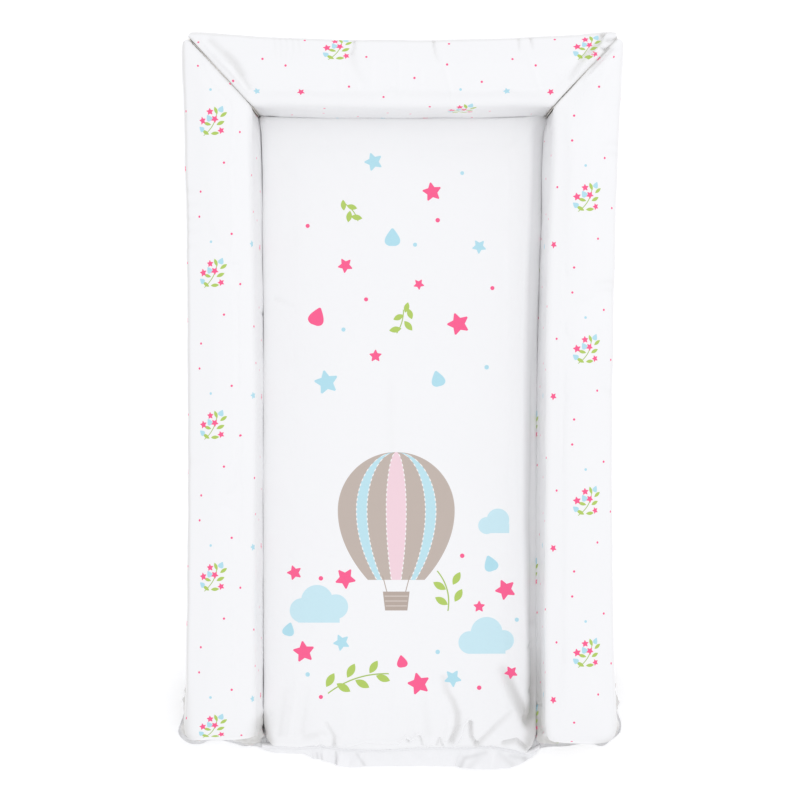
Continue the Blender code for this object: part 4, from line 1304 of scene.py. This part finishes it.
def baseSheetPiece():
    footLeft, headLeft, headRight, footRight = base["corners"]
    outline = edge["outline"]
    left = sharesOf(np.array(pathBetween(outline, footLeft, headLeft)) * mm, base["rows"])
    head = sharesOf(np.array(pathBetween(outline, headLeft, headRight)) * mm, base["columns"])
    right = sharesOf(np.array(pathBetween(outline, headRight, footRight)) * mm, base["rows"])[::-1]
    foot = sharesOf(np.array(base["footLine"]) * mm, base["columns"])
    u = np.linspace(0, 1, base["columns"])[None, :, None]
    v = np.linspace(0, 1, base["rows"])[:, None, None]
    flat = (1 - u) * left[:, None] + u * right[:, None] + (1 - v) * foot[None] + v * head[None]
    flat -= (1 - u) * (1 - v) * foot[0] + u * (1 - v) * foot[-1] + (1 - u) * v * head[0] + u * v * head[-1]
    level = base["height"] * mm + rippled(np.dstack([flat, flat[:, :, 0] * 0]).reshape(-1, 3), base["ripples"])
    piece = sheetFrom("baseSheet", np.dstack([flat, level.reshape(flat.shape[:2])]), base["thickness"])
    points = pointsOf(piece)
    mapPrint(piece, points[:, 0], points[:, 1])
    nearest = np.full(len(points), 1.0)
    line = np.concatenate([left, head, right[::-1], foot[::-1]])
    for start, end in zip(line[:-1], line[1:]):
        if np.linalg.norm(end - start) > 0:
            nearest = np.minimum(nearest, runDistance(points[:, :2], start, end)[0])
    toEdge = piece.data.attributes.new("toEdge", "FLOAT", "POINT")
    toEdge.data.foreach_set("value", nearest.astype(np.float32))
    placed(piece, finishes["base"], "base_vinyl", "base_sheet")
    return piece


baseSheet = baseSheetPiece()

# Loose hem beyond the foot seam.
hem = {
    "thickness": 0.0004,
    "columns": 240,
    "rows": 15,
    "free": [
        (-148.1, -367.5), (-141.6, -370.7), (-134.2, -372.8), (-118.1, -373.4), (-107.4, -373.9),
        (-96.7, -379.3), (-83.8, -380.3), (-67.7, -384.6), (-53.8, -387.8), (-21.7, -387.3), (21.2, -386.8),
        (64, -387.3), (83.3, -390), (98.3, -390), (112.2, -388.9), (122.9, -385.7), (131.5, -380.6),
        (137, -378.6), (144, -374), (150, -368)],
    # height of the free edge across the mat, and of the seam
    "freeHeight": [
        (-150, 1), (-134, 3), (-118, 1.2), (-108, 1.4), (-98, 5), (-96, 1.4), (-86, 1), (-83, 5.4), (-70, 2.2),
        (-66, 1.2), (-64, 6.4), (-50, 4.6), (-40, 6.4), (-37, 1.4), (-15, 1), (10, 1.8), (40, 1.2), (60, 2.4),
        (64, 1), (68, 7.6), (88, 5), (97, 7.8), (104, 3), (112, 5.2), (121, 1.6), (128, 4.6), (134, 1.2),
        (150, 1.2)],
    # the welded lip: distance inwards from the seam line, and height
    "lip": [(5, 1.6), (4, 3.4), (2.6, 4.6), (1.6, 4.8), (0.8, 4), (0.2, 2.6), (-0.4, 2.3)],
    # how far the folds lean, how fast and where they start; the hem's reach and its least depth
    "lean": (5, 55, 1.2),
    "reach": (-148, 149.5),
    "least": 0.8,
    "ripples": [(1, 0, 0, 23, 0.5), (1, 0, 0, 37, 0.5), (1, 0, 0, 13, 0.2)],
    # painted shade in the valleys of the folds across the hem: path, half width, share at the first and at the last
    # point
    "folds": [
        ([(-89, -373), (-88, -381)], 1.3, 0.35, 0.5),
        ([(-84.5, -374), (-83, -381)], 1.1, 0.25, 0.4),
        ([(-68.6, -372), (-68, -386)], 1.2, 0.6, 0.7),
        ([(-46, -374), (-38, -386)], 1.6, 0.3, 0.45),
        ([(65, -387), (69, -378), (92, -372.5)], 2.4, 0.6, 0.3),
        ([(74, -388), (84, -379)], 4, 0.25, 0.2),
        ([(107, -374), (120, -385)], 3.6, 0.2, 0.28),
        ([(118, -376), (134, -379)], 2.6, 0.3, 0.35),
    ],
    "flat": (0.305, 0.026),
    "area": 0.0068,
}


def footRuffle():
    size, speed, start = hem["lean"]
    across = np.linspace(*hem["reach"], hem["columns"]) * mm
    seam = between(across, centre["seamLine"])
    free = np.minimum(between(across, hem["free"]), seam - hem["least"] * mm)
    lifted = between(across, hem["freeHeight"])
    rows = []
    for place, height in hem["lip"]:
        rows.append(np.column_stack([across, seam + place * mm, np.full(len(across), height * mm)]))
    for share in np.linspace(0, 1, hem["rows"])[1:]:
        lean = size * mm * share * np.sin(across * speed + start)
        level = hem["lip"][-1][1] * mm * (1 - share) + lifted * share
        level += rippled(np.column_stack([across, seam * 0, seam * 0]), hem["ripples"]) * math.sin(math.pi * share)
        rows.append(np.column_stack([across + lean, seam + (free - seam) * share, level]))
    piece = sheetFrom("footRuffle", np.array(rows), hem["thickness"])
    # painted shade greys the valleys of the hem's folds
    loosened(piece, np.zeros(len(piece.data.vertices)), hem["folds"], ())
    placed(piece, finishes["hem"], "welded_vinyl", "foot_hem")
    return piece


footRuffle()

# Studio.
studio = {
    "cameraPlace": (0, 0.00525, 2.80),
    "lens": 117.5,
    "sensor": 36.0,
    "floorSize": 8.0,
    "floorHeight": -0.0004,
    "floorRoughness": 0.9,
    "floorColour": (0.92, 0.92, 0.92),
    "floorGlow": 0.20,
    "skyStrength": 0.915,
    "skyColour": (0.992, 0.996, 1.018),
    "lamps": {
        "keyLamp": ((1.5, 1, 3), 2, 7),
        "topLamp": ((0, 0.4, 3.9), 3.2, 5),
    },
}


def softLamp(name, place, size, power):
    bpy.ops.object.light_add(type="AREA", location=place)
    lamp = bpy.context.object
    lamp.name = name
    lamp.data.shape = "DISK"
    lamp.data.size = size
    lamp.data.energy = power
    lamp.rotation_euler = (-Vector(place)).to_track_quat("-Z", "Y").to_euler()


def plainFloor():
    bpy.ops.mesh.primitive_plane_add(size=studio["floorSize"], location=(0, 0, studio["floorHeight"]))
    floor = bpy.context.object
    floor.name = "studioFloor"
    bpy.ops.object.transform_apply(location=True, rotation=True, scale=True)
    paper = bpy.data.materials.new("studioPaper")
    paper.use_nodes = True
    shader = paper.node_tree.nodes["Principled BSDF"]
    shader.inputs["Base Color"].default_value = (*studio["floorColour"], 1.0)
    shader.inputs["Roughness"].default_value = studio["floorRoughness"]
    shader.inputs["Emission Color"].default_value = (1.0, 1.0, 1.0, 1.0)
    shader.inputs["Emission Strength"].default_value = studio["floorGlow"]
    floor.data.materials.append(paper)


bpy.ops.object.camera_add(location=studio["cameraPlace"], rotation=(0, 0, 0))
camera = bpy.context.object
camera.name = "photoCamera"
camera.data.lens = studio["lens"]
camera.data.sensor_width = studio["sensor"]
bpy.context.scene.camera = camera
sky = bpy.data.worlds.new("paleStudio")
sky.use_nodes = True
sky.node_tree.nodes["Background"].inputs["Color"].default_value = (*studio["skyColour"], 1.0)
sky.node_tree.nodes["Background"].inputs["Strength"].default_value = studio["skyStrength"]
bpy.context.scene.world = sky
bpy.context.scene.view_settings.view_transform = "Standard"
for name, facts in studio["lamps"].items():
    softLamp(name, *facts)
plainFloor()
print("studio: camera, lamps and floor")
